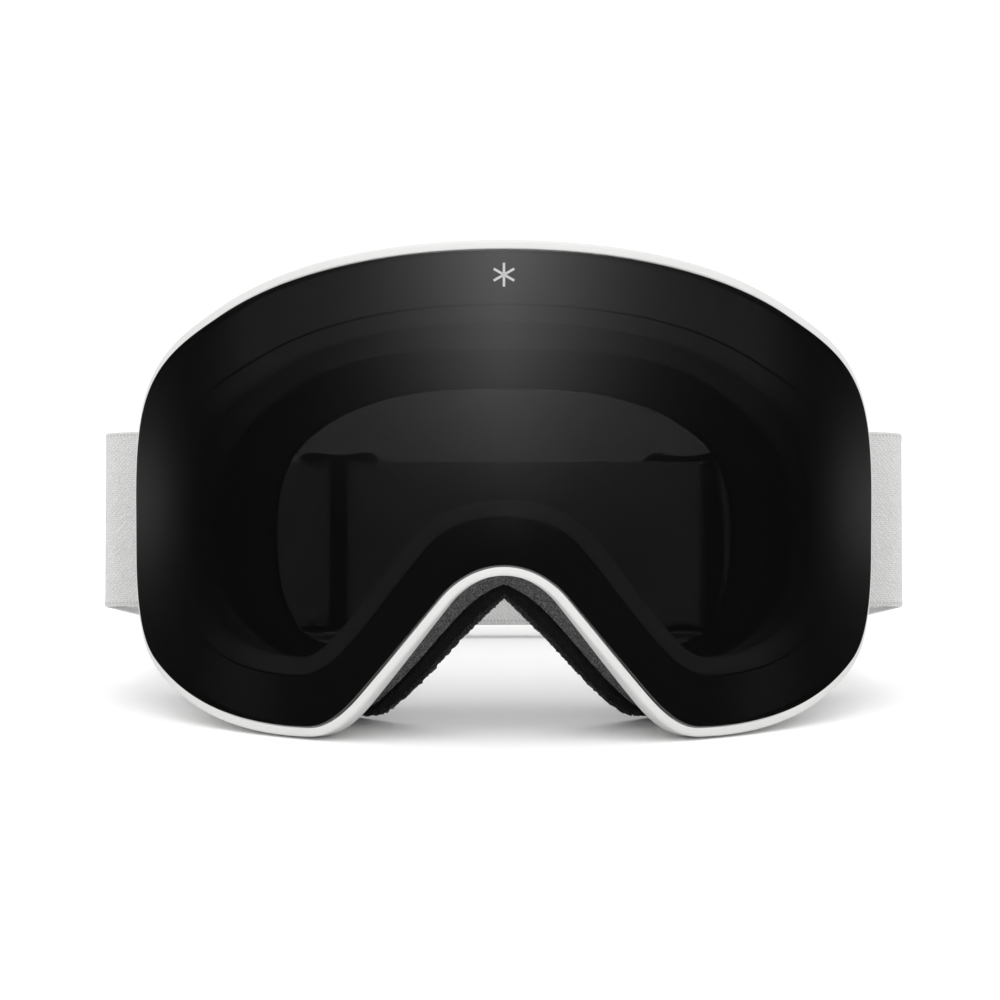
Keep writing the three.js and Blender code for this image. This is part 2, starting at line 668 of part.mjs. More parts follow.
// A slider has three bars on the side of the webbing that is sewn to it, one bridge bar on the other side,
// and rails that join them above and below. The other webbing runs between the bars and the bridge.
function sliderSolid() {
  const barLow = -LAYER_STEP / 2 + HALF + GAP;
  const barHigh = barLow + SLIDER_BAR;
  const bridgeHigh = SLIDER_BACK;
  const bridgeLow = bridgeHigh - SLIDER_BAR;
  const inside = SLIDER_HALF_HEIGHT - SLIDER_RAIL;
  const outside = SLIDER_HALF_HEIGHT;
  const half = SLIDER_HALF_LENGTH;
  const upright = (x0, x1, y0, y1) =>
    block(new THREE.Vector3(x0, y0, -inside - 0.5), new THREE.Vector3(x1, y1, inside + 0.5));

  const bowPlan = new THREE.Shape();
  bowPlan.moveTo(half - 4.6, -inside - 0.5);
  bowPlan.lineTo(half - 2.4, -inside - 0.5);
  bowPlan.quadraticCurveTo(half + 2.4, 0, half - 2.4, inside + 0.5);
  bowPlan.lineTo(half - 4.6, inside + 0.5);
  const bow = new THREE.ExtrudeGeometry(bowPlan, {
    depth: SLIDER_BAR,
    bevelEnabled: false,
    curveSegments: 8,
  })
    .rotateX(Math.PI / 2)
    .translate(0, barHigh, 0);

  const railPlan = new THREE.Shape();
  railPlan.moveTo(-half, inside);
  railPlan.lineTo(half, inside);
  railPlan.quadraticCurveTo(half - 1.5, outside, half - 4, outside);
  railPlan.quadraticCurveTo(0, outside - 1.6, -half + 4, outside);
  railPlan.quadraticCurveTo(-half + 1.5, outside, -half, inside);
  const rail = new THREE.ExtrudeGeometry(railPlan, {
    depth: bridgeHigh - barLow,
    bevelEnabled: false,
    curveSegments: 6,
  })
    .rotateX(Math.PI / 2)
    .translate(0, bridgeHigh, 0);
  const lowerRail = rail.clone().applyMatrix4(new THREE.Matrix4().makeScale(1, 1, -1));

  return [
    rail,
    lowerRail,
    bow,
    upright(-half + 1.2, -half + 4, barLow, barHigh),
    upright(-SLIDER_BRIDGE_HALF, SLIDER_BRIDGE_HALF, barLow, barHigh),
    upright(-SLIDER_BRIDGE_HALF, SLIDER_BRIDGE_HALF, bridgeLow, bridgeHigh),
  ]
    .map(toSolid)
    .reduce((sum, piece) => sum.add(piece));
}

// The left slider is the right one turned half round, so that its bridge is on the inside.
const slider = toGeometry(sliderSolid());
const hem = webbing(hemPath());
const layerMiddle = (STRAP_REAR + OUTER_REAR) / 2;
const SLIDERS = [
  { name: "right", x: RIGHT_SLIDER_X, turn: 0, sewn: "left" },
  { name: "left", x: LEFT_SLIDER_X, turn: Math.PI, sewn: "right" },
];
for (const { name, x, turn, sewn } of SLIDERS) {
  const carriage = new THREE.Group();
  carriage.position.set(x, layerMiddle, 0);
  carriage.rotation.z = turn;
  strap.add(carriage);
  place(carriage, `slider_${name}`, slider, BLACK_PLASTIC);
  place(carriage, `strap_${sewn}_end`, hem, WHITE_WEBBING);
}

// ---------------------------------------------------------------- standing on a surface

// The goggles lean back until the right slider's lower rail touches down with the lobes of the rim.
const railFoot = new THREE.Vector3(0, layerMiddle + SLIDER_BACK, -SLIDER_HALF_HEIGHT);
railFoot.applyMatrix4(strap.matrix);
const corners = frame.getMesh().vertProperties;
let LEAN = 0;
for (let i = 0; i < corners.length; i += 3) {
  const [, y, z] = corners.slice(i, i + 3);
  if (y < railFoot.y) LEAN = Math.max(LEAN, Math.atan2(railFoot.z - z, railFoot.y - y));
}

const part = new THREE.Group();
goggles.rotation.x = -LEAN;
part.add(goggles);
part.updateMatrixWorld(true);
const box = new THREE.Box3().setFromObject(part, true);
goggles.position.set(
  -(box.min.x + box.max.x) / 2,
  -(box.min.y + box.max.y) / 2,
  -box.min.z,
);

export default part;
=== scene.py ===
"""Ski goggles with a cylindrical lens, a white frame, layered face foam and an elastic strap.

Shapes are worked out upright and in millimetres: x to the right as seen from the front, y from the face of
the lens back through the wearer's head, z up. The function `stood` then leans them back and sets them down
where the goggles stand, in metres.
"""

import json
import math

import bmesh
import bpy
import numpy as np
from bpy.props import FloatProperty, FloatVectorProperty, IntProperty, PointerProperty
from bpy.types import Operator, Panel, PropertyGroup
from mathutils import Matrix, Vector


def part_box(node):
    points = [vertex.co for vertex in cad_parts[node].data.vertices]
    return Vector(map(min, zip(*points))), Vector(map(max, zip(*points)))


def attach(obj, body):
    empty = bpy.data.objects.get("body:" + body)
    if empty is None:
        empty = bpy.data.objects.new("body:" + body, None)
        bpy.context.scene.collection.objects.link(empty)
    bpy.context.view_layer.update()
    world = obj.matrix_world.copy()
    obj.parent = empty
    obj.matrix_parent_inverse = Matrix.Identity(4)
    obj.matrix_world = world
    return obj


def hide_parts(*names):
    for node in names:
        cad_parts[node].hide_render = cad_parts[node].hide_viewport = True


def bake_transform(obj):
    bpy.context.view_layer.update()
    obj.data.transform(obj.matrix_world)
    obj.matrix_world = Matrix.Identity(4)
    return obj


bl_info = {
    "name": "Ski Goggles",
    "version": (1, 0, 0),
    "blender": (4, 5, 0),
    "location": "3D View > Sidebar > Goggles",
    "description": "Builds the surfaces and finishes of a pair of ski goggles round their frame",
    "category": "Object",
}

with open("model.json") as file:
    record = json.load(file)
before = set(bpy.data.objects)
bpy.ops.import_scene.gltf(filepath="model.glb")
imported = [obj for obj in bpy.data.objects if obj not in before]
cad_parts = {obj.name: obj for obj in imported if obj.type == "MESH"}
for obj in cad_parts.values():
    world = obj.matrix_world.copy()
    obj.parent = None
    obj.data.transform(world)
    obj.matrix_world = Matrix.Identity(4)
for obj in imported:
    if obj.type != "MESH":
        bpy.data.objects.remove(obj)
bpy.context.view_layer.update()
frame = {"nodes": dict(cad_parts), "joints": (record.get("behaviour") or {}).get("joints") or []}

MM = 0.001

# ---------------------------------------------------------------- sizes of the goggles, in millimetres

LENS_RADIUS = 100.0
LENS_THICKNESS = 1.6
INNER_LENS_THICKNESS = 1.0
LENS_GAP = 0.3
SPACER_THICKNESS = 5.0
SPACER_WIDTH = 4.0
EDGE_CLEARANCE = 0.4
RIM_WIDTH = 2.4
RIM_SETBACK = 0.7
WALL_THICKNESS = 2.2
FLANGE_THICKNESS = 2.0
CARRIER_THICKNESS = 2.7
SEAT_FRONT = LENS_THICKNESS + LENS_GAP + CARRIER_THICKNESS + LENS_GAP
SEAT_DEPTH = 3.0
SEAT_BACK = SEAT_FRONT + SEAT_DEPTH
INNER_LENS_FRONT = LENS_THICKNESS + LENS_GAP + SPACER_THICKNESS + LENS_GAP

FACE_DEPTH = 29.0
FACE_BEND = 81.0
NOSE_RELIEF = 16.0
NOSE_HALF_WIDTH = 14.0
NOSE_FLARE = 0.5

BASE_FOAM = 8.0
SOFT_FOAM = 5.4
FLEECE = 1.6
FOAM_DEPTH = BASE_FOAM + SOFT_FOAM + FLEECE

STRAP_WIDTH = 42.0
STRAP_THICKNESS = 1.4
STRAP_REAR = 168.0
STRAP_SLOPE = math.radians(3.87)
STRAP_HEIGHT = 0.3
STRAP_BULGE = 11.8
STRAP_SPLAY = math.radians(70)
STRAP_TOE_IN = math.radians(7)
STRAP_TEMPLE_BEND = 5.0
STRAP_REAR_BEND = 18.0
STRAP_TAIL = 7.0
SIDE_SPLIT = 0.55
ANCHOR_REACH = 6.5
ANCHOR_SETBACK = 3.5
ANCHOR_ROOT = 0.35
ANCHOR_BAR_RADIUS = 1.5
ANCHOR_ARM = 3.2

SLIDER_BAR = 1.4
SLIDER_BRIDGE_HALF = 2.2
LEFT_SLIDER_X = -42.5
RIGHT_SLIDER_X = 46.5
HEM = 8.2

HALF = STRAP_THICKNESS / 2
HEM_STEP = 2 * HALF + 2 * LENS_GAP + SLIDER_BAR
LAYER_STEP = HEM_STEP + 2 * HALF + LENS_GAP
OUTER_REAR = STRAP_REAR + LAYER_STEP

# ---------------------------------------------------------------- outlines

# Each outline is its right half, from the top centre clockwise to the middle of the nose arch: place across,
# height, and heading in degrees.
OUTLINES = {
    "lens": [
        (0, 56.8, 0),
        (72, 42.6, -25),
        (102.7, 19.5, -68),
        (105.4, -10, -90),
        (96, -37.5, -145),
        (47, -51.9, -180),
        (34.6, -44.9, -227),
        (15, -22.3, -229.5),
        (0, -14.8, -180),
    ],
    "sight": [
        (0, 44.8, 0),
        (62, 33, -25),
        (88.5, 14, -67),
        (92.3, -8, -90),
        (83, -31, -143),
        (50, -40.6, -180),
        (39, -35.5, -223),
        (17.5, -10.8, -228),
        (0, -4.2, -180),
    ],
    "flange_inner": [
        (0, 35, 0),
        (50, 26, -33),
        (65.5, 10, -68),
        (69, -8, -90),
        (61, -30, -137),
        (42.5, -38.4, -180),
        (34.5, -34, -223),
        (14.3, -12, -228),
        (0, -6.5, -180),
    ],
    "flange_outer": [
        (0, 45, 0),
        (57, 34, -33),
        (75, 13, -70),
        (78, -8, -90),
        (70, -36, -138),
        (44, -50, -180),
        (31.8, -45.4, -226),
        (12.2, -22.4, -229.5),
        (0, -16.6, -180),
    ],
    "foam_inner": [
        (0, 26.8, 0),
        (42, 18.5, -32),
        (52.8, 6, -72),
        (54.8, -8, -90),
        (50.5, -29, -118),
        (40, -34.6, -180),
        (34, -31.5, -226),
        (14, -9.8, -228),
        (0, -4.7, -180),
    ],
    "foam_outer": [
        (0, 47, 0),
        (59, 36, -33),
        (78, 14, -70),
        (81, -8, -90),
        (72.5, -37, -138),
        (43, -49.2, -180),
        (26.8, -48.8, -214),
        (8.6, -31, -224),
        (0, -22.5, -222),
    ],
}
SPANS = 8
SPAN_STEPS = (9, 6, 5, 6, 7, 4, 4, 4)  # facets of each span, in proportion to its length


def span_handles(points):
    """The four control points of the cubic of each span, with handles of length d / (3 cos^2(turn / 4)) for
    a span d long between its ends."""
    place = np.array([p[:2] for p in points], float)
    heading = np.radians([p[2] for p in points])
    way = np.stack([np.cos(heading), np.sin(heading)], -1)
    start, end = place[:-1], place[1:]
    chord = np.linalg.norm(end - start, axis=1)
    reach = chord / (3 * np.cos(np.diff(heading) / 4) ** 2)
    return np.stack([start, start + way[:-1] * reach[:, None], end - way[1:] * reach[:, None], end])


HANDLES = {name: span_handles(points) for name, points in OUTLINES.items()}


def outline(name, t, offset=0.0):
    """Points of an outline at stations t, from 0 at the top centre to SPANS at the nose and on to 2 SPANS up
    the left half: the span's cubic Bezier curve, moved along its outward normal by offset."""
    t = np.mod(t, 2 * SPANS)
    left = t > SPANS
    along = np.where(left, 2 * SPANS - t, t)
    span = np.minimum(SPANS - 1, along.astype(int))
    s = (along - span)[..., None]
    a, b, c, d = (HANDLES[name][k][span] for k in range(4))
    r = 1 - s
    point = r**3 * a + 3 * r**2 * s * b + 3 * r * s**2 * c + s**3 * d
    slope = r**2 * (b - a) + 2 * r * s * (c - b) + s**2 * (d - c)
    slope /= np.linalg.norm(slope, axis=-1, keepdims=True)
    point = point + np.stack([-slope[..., 1], slope[..., 0]], -1) * np.asarray(offset)[..., None]
    on_axis = (along == 0) | (along == SPANS)
    point[..., 0] = np.where(on_axis, 0.0, np.where(left, -point[..., 0], point[..., 0]))
    return point


def stations(per_facet, extra=()):
    """Stations of a whole ring, per_facet of them to each facet of the spans, and the extra ones."""
    half = np.concatenate([k + np.arange(n * per_facet) / (n * per_facet) for k, n in enumerate(SPAN_STEPS)])
    extra = np.array([e for pair in extra for e in (pair, 2 * SPANS - pair)])
    return np.unique(np.round(np.concatenate([half, 2 * SPANS - half[1:], [SPANS], extra]), 5))


def lens_point(p, depth):
    """Points of the flat lens wrapped round its cylinder: the arc length u becomes the angle u / R, at the
    radius R - depth."""
    angle = p[..., 0] / LENS_RADIUS
    radius = LENS_RADIUS - depth
    return np.stack(
        [radius * np.sin(angle), LENS_RADIUS - radius * np.cos(angle), p[..., 1] + 0 * angle], -1
    )


def face_depth(x, z):
    """How far the back of the face flange lies behind the lens: a catenary across the brow, less a bell that
    brings it forward over the nose."""
    bend = FACE_BEND * (np.cosh(x / FACE_BEND) - 1)
    k = np.clip((-z + 6) / 20, 0, 1)
    nose = k * k * (3 - 2 * k)
    half_width = NOSE_HALF_WIDTH + NOSE_FLARE * np.maximum(0, -z)
    return FACE_DEPTH + bend - NOSE_RELIEF * nose * np.exp(-((x / half_width) ** 2))


def face_point(p, back):
    """Points of the face surface, back behind it."""
    return np.stack([p[..., 0], face_depth(p[..., 0], p[..., 1]) + back, p[..., 1]], -1)


def between(a, b, share):
    return a + (b - a) * np.asarray(share)[..., None]


# ---------------------------------------------------------------- standing the goggles up

RELEASE = next(j for j in frame["joints"] if j["name"] == "lens_release")["axis"]
LEAN = math.atan2(RELEASE[2], -RELEASE[1])


def leant(points):
    """Points turned back about x by the lean."""
    x, y, z = np.moveaxis(np.asarray(points, float), -1, 0)
    cos, sin = math.cos(LEAN), math.sin(LEAN)
    return np.stack([x, y * cos + z * sin, z * cos - y * sin], -1)


def standing_place():
    """The middle of the upright lens's face, where it stands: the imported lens's lowest and foremost places
    less those of the leant one."""
    rim = outline("lens", stations(6))
    faces = leant(np.stack([lens_point(rim, 0.0), lens_point(rim, LENS_THICKNESS)]))
    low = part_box("outer_lens")[0]
    return np.array([0.0, low.y / MM - faces[..., 1].min(), low.z / MM - faces[..., 2].min()])


PLACE = standing_place()


def stood(points):
    """Upright points in millimetres to the row frame in metres."""
    return (leant(points) + PLACE) * MM


def on_strap(points):
    """Points of the strap's own level frame to the upright frame: turned down to the rear by the slope."""
    x, y, z = np.moveaxis(np.asarray(points, float), -1, 0)
    cos, sin = math.cos(STRAP_SLOPE), math.sin(STRAP_SLOPE)
    return np.stack([x, y * cos + z * sin, z * cos - y * sin + STRAP_HEIGHT], -1)


# ---------------------------------------------------------------- making meshes


def ring_quads(rows, cols, close_rows, close_cols):
    """Corner numbers of the quads of a grid, joined end to end where it closes."""
    i, j = np.meshgrid(
        np.arange(rows if close_rows else rows - 1),
        np.arange(cols if close_cols else cols - 1),
        indexing="ij",
    )
    i, j = i.ravel(), j.ravel()
    k, m = (i + 1) % rows, (j + 1) % cols
    return np.stack([i * cols + j, i * cols + m, k * cols + m, k * cols + j], -1)


def mesh_object(name, points, faces, uv=None, smooth=True, sharp=None):
    """An object at the origin from points in metres and faces of any size. uv holds a pair for each point."""
    data = bpy.data.meshes.new(name)
    data.from_pydata(points.reshape(-1, 3), [], [tuple(f) for f in faces])
    data.update()
    if uv is not None:
        loops = np.zeros(len(data.loops), np.int32)
        data.loops.foreach_get("vertex_index", loops)
        layer = data.uv_layers.new(name="weave")
        layer.data.foreach_set("uv", uv.reshape(-1, 2)[loops].astype(np.float32).ravel())
    turn_out(data)
    data.polygons.foreach_set("use_smooth", np.full(len(data.polygons), smooth))
    if sharp:
        data.set_sharp_from_angle(angle=math.radians(sharp))
    obj = bpy.data.objects.new(name, data)
    bpy.context.scene.collection.objects.link(obj)
    return obj


def turn_out(data, merge=1e-7):
    """Merges the points that lie on each other and turns every closed shell's faces outwards."""
    work = bmesh.new()
    work.from_mesh(data)
    bmesh.ops.remove_doubles(work, verts=work.verts, dist=merge)
    bmesh.ops.recalc_face_normals(work, faces=work.faces)
    if work.calc_volume(signed=True) < 0:
        bmesh.ops.reverse_faces(work, faces=work.faces)
    work.to_mesh(data)
    work.free()
    data.update()


def grid_object(name, points, close_rows=True, close_cols=True, uv=None, sharp=None):
    """An object from a grid of upright points; a grid that is open along its rows is capped at both ends."""
    rows, cols = points.shape[:2]
    faces = list(ring_quads(rows, cols, close_rows, close_cols))
    if not close_rows:
        faces += [np.arange(cols), (rows - 1) * cols + np.arange(cols)]
    return mesh_object(name, stood(points), faces, uv, sharp=sharp)


def bevelled(obj, width, segments=3, angle=35):
    modifier = obj.modifiers.new("edges", "BEVEL")
    modifier.width = width * MM
    modifier.segments = segments
    modifier.limit_method = "ANGLE"
    modifier.angle_limit = math.radians(angle)
    modifier.use_clamp_overlap = True
    return obj


def copy_of(node, name):
    """A merged, smooth-shaded copy of a CAD node, which it replaces."""
    data = frame["nodes"][node].data.copy()
    data.materials.clear()
    turn_out(data, 1e-6)
    obj = bpy.data.objects.new(name, data)
    bpy.context.scene.collection.objects.link(obj)
    work = bmesh.new()
    work.from_mesh(data)
    flat = [e for e in work.edges if e.is_manifold and e.calc_face_angle() < math.radians(1)]
    bmesh.ops.dissolve_edges(work, edges=flat, use_verts=False)
    work.to_mesh(data)
    work.free()
    data.polygons.foreach_set("use_smooth", np.ones(len(data.polygons), bool))
    data.set_sharp_from_angle(angle=math.radians(35))
    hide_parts(node)
    return obj


def dress(obj, material, body=None):
    obj.data.materials.clear()
    obj.data.materials.append(material)
    if body:
        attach(obj, body)
    return obj


def dress_nodes(names, material):
    for name in names:
        node = frame["nodes"][name]
        node.data.materials.clear()
        node.data.materials.append(material)


# ---------------------------------------------------------------- shader expressions


class Wire:
    """A shader socket as a value in an expression: each operator adds one Math node."""

    def __init__(self, tree, socket):
        self.tree = tree
        self.socket = socket

    def add(self, kind, settings=None, inputs=None, output=0):
        """Any node: its type, its settings, the values or wires of its sockets, and the output wanted."""
        node = self.tree.nodes.new(kind)
        for key, value in (settings or {}).items():
            if key == "stops":
                ramp = node.color_ramp
                while len(ramp.elements) < len(value):
                    ramp.elements.new(0.5)
                for element, (place, shade) in zip(ramp.elements, value):
                    element.position = place
                    element.color = (shade, shade, shade, 1) if np.isscalar(shade) else (*shade, 1)
            else:
                setattr(node, key, value)
        for key, value in (inputs or {}).items():
            if isinstance(value, Wire):
                self.tree.links.new(value.socket, node.inputs[key])
            else:
                node.inputs[key].default_value = value
        return Wire(self.tree, node.outputs[output])

    def maths(self, operation, a, b=0.0):
        return self.add("ShaderNodeMath", {"operation": operation}, {0: a, 1: b})

    def __add__(self, other):
        return self.maths("ADD", self, other)

    def __sub__(self, other):
        return self.maths("SUBTRACT", self, other)

    def __mul__(self, other):
        return self.maths("MULTIPLY", self, other)

    def __pow__(self, other):
        return self.maths("POWER", self, other)

    def __radd__(self, other):
        return self.maths("ADD", other, self)

    def __rsub__(self, other):
        return self.maths("SUBTRACT", other, self)

    def __rmul__(self, other):
        return self.maths("MULTIPLY", other, self)

    def exp(self):
        return self.maths("EXPONENT", self)

    def along(self, way):
        """The length of this vector along a unit one."""
        return self.add("ShaderNodeVectorMath", {"operation": "DOT_PRODUCT"}, {0: self, 1: way}, "Value")

    def sine(self):
        return self.maths("SINE", self)

    def size(self):
        return self.maths("ABSOLUTE", self)

    def step(self, low, high):
        """0 below low, 1 above high, and smooth between."""
        inputs = {"Value": self, "From Min": low, "From Max": high}
        return self.add("ShaderNodeMapRange", {"interpolation_type": "SMOOTHSTEP"}, inputs)

    def axis(self, name):
        return self.add("ShaderNodeSeparateXYZ", {}, {0: self}, name)

    def scaled(self, by):
        return self.add("ShaderNodeVectorMath", {"operation": "MULTIPLY"}, {0: self, 1: by})

    def noise(self, scale, detail=2.0, roughness=0.5):
        inputs = {"Vector": self, "Scale": scale, "Detail": detail, "Roughness": roughness}
        return self.add("ShaderNodeTexNoise", {}, inputs)

    def cells(self, scale):
        """The distance to the nearest point of a scatter."""
        return self.add("ShaderNodeTexVoronoi", {}, {"Vector": self, "Scale": scale}, "Distance")

    def mixed(self, dark, light):
        """A colour between two, by this value."""
        settings = {"data_type": "RGBA"}
        return self.add("ShaderNodeMix", settings, {0: self, 6: (*dark, 1), 7: (*light, 1)}, 2)


class Finish:
    """A material on one Principled shader, with its constants on the shader's own sockets."""

    def __init__(self, name, **constants):
        self.material = bpy.data.materials.new(name)
        self.material.use_nodes = True
        self.tree = self.material.node_tree
        self.shader = self.tree.nodes["Principled BSDF"]
        for key, value in constants.items():
            self.shader.inputs[key.replace("_", " ")].default_value = value
        self.start = Wire(self.tree, None)

    def place(self, kind="Object"):
        return self.start.add("ShaderNodeTexCoord", {}, {}, kind)

    def feed(self, **wires):
        for key, wire in wires.items():
            self.tree.links.new(wire.socket, self.shader.inputs[key.replace("_", " ")])
        return self

    def bump(self, height, depth, strength=1.0):
        """Relief from a height between 0 and 1, depth metres deep."""
        inputs = {"Height": height, "Distance": depth, "Strength": strength}
        return self.feed(Normal=self.start.add("ShaderNodeBump", {}, inputs))


def shade(value):
    """The linear grey of a display value from 0 to 255."""
    v = value / 255
    return ((v + 0.055) / 1.055) ** 2.4 if v > 0.04045 else v / 12.92


def grey(value, warm=0.0):
    v = shade(value)
    return (v * (1 + warm), v, v * (1 - warm))


MOULD_GRAIN = 0.03 * MM  # depth of the grain that a mould leaves


def frame_white(settings):
    """Satin moulded polyurethane: a faint mottle in the gloss and a fine spark-eroded grain."""
    f = Finish("frame_white", Roughness=0.42, Specular_IOR_Level=0.45, Subsurface_Weight=0.06)
    f.shader.inputs["Subsurface Radius"].default_value = (0.002, 0.0016, 0.0013)
    at = f.place()
    mottle = at.noise(90, 3)
    grain = at.noise(5200, 2)
    tone = tuple(settings.frame_colour)
    f.feed(
        Base_Color=mottle.step(0.3, 0.7).mixed(tuple(c * 0.975 for c in tone), tone),
        Roughness=0.36 + 0.12 * mottle + 0.06 * grain,
    )
    f.bump(grain, 0.00002, 0.6)
    return f.material


def lens_smoke(settings):
    """Dark polycarbonate under a hard gloss coat: nearly opaque, with a faint haze of handling. Its painted
    shade makes it more opaque towards the temples, where the shaded inner wall and the slant view darken it."""
    f = Finish(
        "lens_smoke",
        Base_Color=(*grey(3), 1),
        IOR=1.58,
        Specular_IOR_Level=0.55,
    )
    at = f.place()
    haze = at.noise(60, 4, 0.6)
    # painted shade: more opacity over the temples darkens them, as the shaded wall and the slant view do
    temple_painted_shade = at.axis("X").size().step(0.056, 0.074)
    clear = 1 - settings.lens_opacity
    f.feed(
        Roughness=0.04 + 0.04 * haze.step(0.45, 0.8),
        Alpha=(1 - clear) + 0.6 * clear * temple_painted_shade,
    )
    f.bump(at.noise(14, 1), 0.00003, 0.25)
    return f.material


def lens_clear():
    """Thin clear acetate behind the dark lens."""
    f = Finish("lens_clear", Base_Color=(*grey(8), 1), Alpha=0.106, IOR=1.47, Specular_IOR_Level=0.3)
    haze = f.place().noise(80, 3)
    f.feed(Roughness=0.06 + 0.08 * haze)
    return f.material


def plastic(name, value, grain_scale=2600.0, roughness=0.5):
    """Moulded plastic with a cloudy tone and a fine leathered grain."""
    f = Finish(name, Specular_IOR_Level=0.4)
    at = f.place()
    grain = at.noise(grain_scale, 3, 0.6)
    cloud = at.noise(140, 2)
    f.feed(
        Base_Color=cloud.step(0.3, 0.7).mixed(grey(value * 0.97), grey(value * 1.02)),
        Roughness=roughness - 0.08 + 0.16 * grain,
    )
    f.bump(grain, MOULD_GRAIN, 0.8)
    return f.material


def carrier_plastic():
    """The carrier's pale plastic, drawn darker grey low down round the nose and the inner lobes."""
    f = Finish("carrier_pale", Specular_IOR_Level=0.3)
    at = f.place()
    grain = at.noise(2600, 3, 0.6)
    low = 1 - at.axis("Z").step(0.052, 0.064)
    inner = 1 - at.axis("X").size().step(0.046, 0.072)
    # darker grey low in the middle, round the nose and the inner lobes
    low_middle_darkening = low * inner
    f.feed(
        Base_Color=(1 - low_middle_darkening * (0.94 + 0.06 * grain)).mixed(grey(78), grey(188)),
        Roughness=0.37 + 0.16 * grain,
    )
    f.bump(grain, MOULD_GRAIN, 0.8)
    return f.material


def foam(name, value, cell):
    """Open-cell foam: pits between pale cell walls, cell of them to the metre, in two sizes; painted shade
    darkens the pits.
    """
    f = Finish(name, Roughness=0.95, Specular_IOR_Level=0.1)
    at = f.place()
    pits = at.cells(cell)
    fine = at.noise(cell * 1.3, 3, 0.7)
    height = pits * 0.55 + fine * 0.75
    # painted shade: the colour follows the relief's height, darker in the pits
    speck = height.step(0.45, 0.95)
    f.feed(Base_Color=speck.mixed(grey(value * 0.62), grey(value * 1.4)))
    f.bump(height, 0.0004, 0.9)
    return f.material


def fleece(settings):
    """Brushed pile: tufts at about a millimetre over short matted fibres. Its colour follows the pile's
    height, with painted shade in the hollows and painted light on the tufts.
    """
    f = Finish("fleece_black", Roughness=1.0, Specular_IOR_Level=0.05, Sheen_Weight=0.25, Sheen_Roughness=0.6)
    at = f.place()
    tufts = at.noise(1300, 3, 0.65)
    fibres = at.scaled((1.0, 1.0, 0.45)).noise(3800, 2, 0.7)
    height = tufts * 0.6 + fibres * 0.6
    tone = settings.fleece_tone
    # painted shade and light: darker where the pile is low, lighter on the tufts
    f.feed(Base_Color=height.step(0.42, 0.8).mixed(grey(tone * 0.15), grey(tone * 2.1)))
    f.bump(height, 0.0005, 0.9)
    return f.material


def webbing(settings, details):
    """Elastic webbing by its own map, in millimetres along and across: a fine diagonal twill that wanders,
    crossed by the picks of the weft, with a dashed hem line along each edge. Its colour carries painted
    shade, darker in the grooves between the ribs and in the hem's dashed groove, over random fuzz and
    blotches."""
    f = Finish("webbing_grey", Roughness=0.9, Specular_IOR_Level=0.15, Sheen_Weight=0.2, Sheen_Roughness=0.5)
    at = f.place("UV")
    along, across = at.axis("X"), at.axis("Y")
    wander = at.noise(0.9, 3, 0.7)
    turn = 2 * math.pi
    twill = ((along + across * 0.9 + wander * 2.6) * (turn / details.twill)).sine()
    picks = ((across + wander * 0.5) * (turn / 0.47)).sine()
    warp = ((along + wander * 0.3) * (turn / 0.38)).sine()
    ribs = 0.5 + 0.24 * twill + 0.16 * picks + 0.08 * warp
    edge = (across.size() - (STRAP_WIDTH / 2 - 0.8)).size()
    dash = (along * (turn / 0.9)).sine().step(-0.5, 0.2)
    hem = (1 - edge.step(0.14, 0.38)) * dash
    height = ribs * (1 - 0.7 * hem)
    fuzz = at.noise(5.0, 3, 0.7)
    blotch = at.noise(0.16, 2, 0.5)
    tone = tuple(settings.webbing_colour)
    dark = tuple(c * 0.68 for c in tone)
    # painted shade in the weave's grooves and the hem's dashes, over random tone from fuzz and blotches
    weave_tone_and_shade = (height * 0.72 + fuzz * 0.34 + blotch * 0.1).step(0.2, 0.78) * (1 - 0.8 * hem)
    f.feed(Base_Color=weave_tone_and_shade.mixed(dark, tone), Roughness=0.82 + 0.12 * fuzz)
    f.bump(height + fuzz * 0.3, 0.0002, 0.8)
    return f.material


def steel():
    """Nickel plate with fine lapping lines."""
    f = Finish("magnet_nickel", Metallic=1.0, Base_Color=(*grey(120), 1))
    lines = f.place().scaled((1, 1, 30)).noise(300, 2)
    f.feed(Roughness=0.25 + 0.25 * lines)
    f.bump(lines, 0.00001, 0.5)
    return f.material


def print_ink(settings):
    """Pale ink printed on the lens."""
    f = Finish("print_ink", Specular_IOR_Level=0.2)
    speck = f.place().noise(9000, 2)
    tone = settings.emblem_tone
    f.feed(Base_Color=speck.mixed(grey(tone * 0.92), grey(tone)), Roughness=0.5 + 0.2 * speck)
    return f.material


def thread():
    """Twisted polyester sewing thread, with painted shade darker in the grooves of its twist."""
    f = Finish("thread_white", Roughness=0.6, Sheen_Weight=0.2)
    twist = (f.place().axis("X") * 9000 + f.place().axis("Z") * 9000).sine()
    # painted shade: lighter on the twist's ridges, darker in its grooves
    f.feed(Base_Color=(0.5 + 0.5 * twist).mixed(grey(188), grey(222)))
    f.bump(twist, 0.00006, 0.5)
    return f.material


# ---------------------------------------------------------------- settings


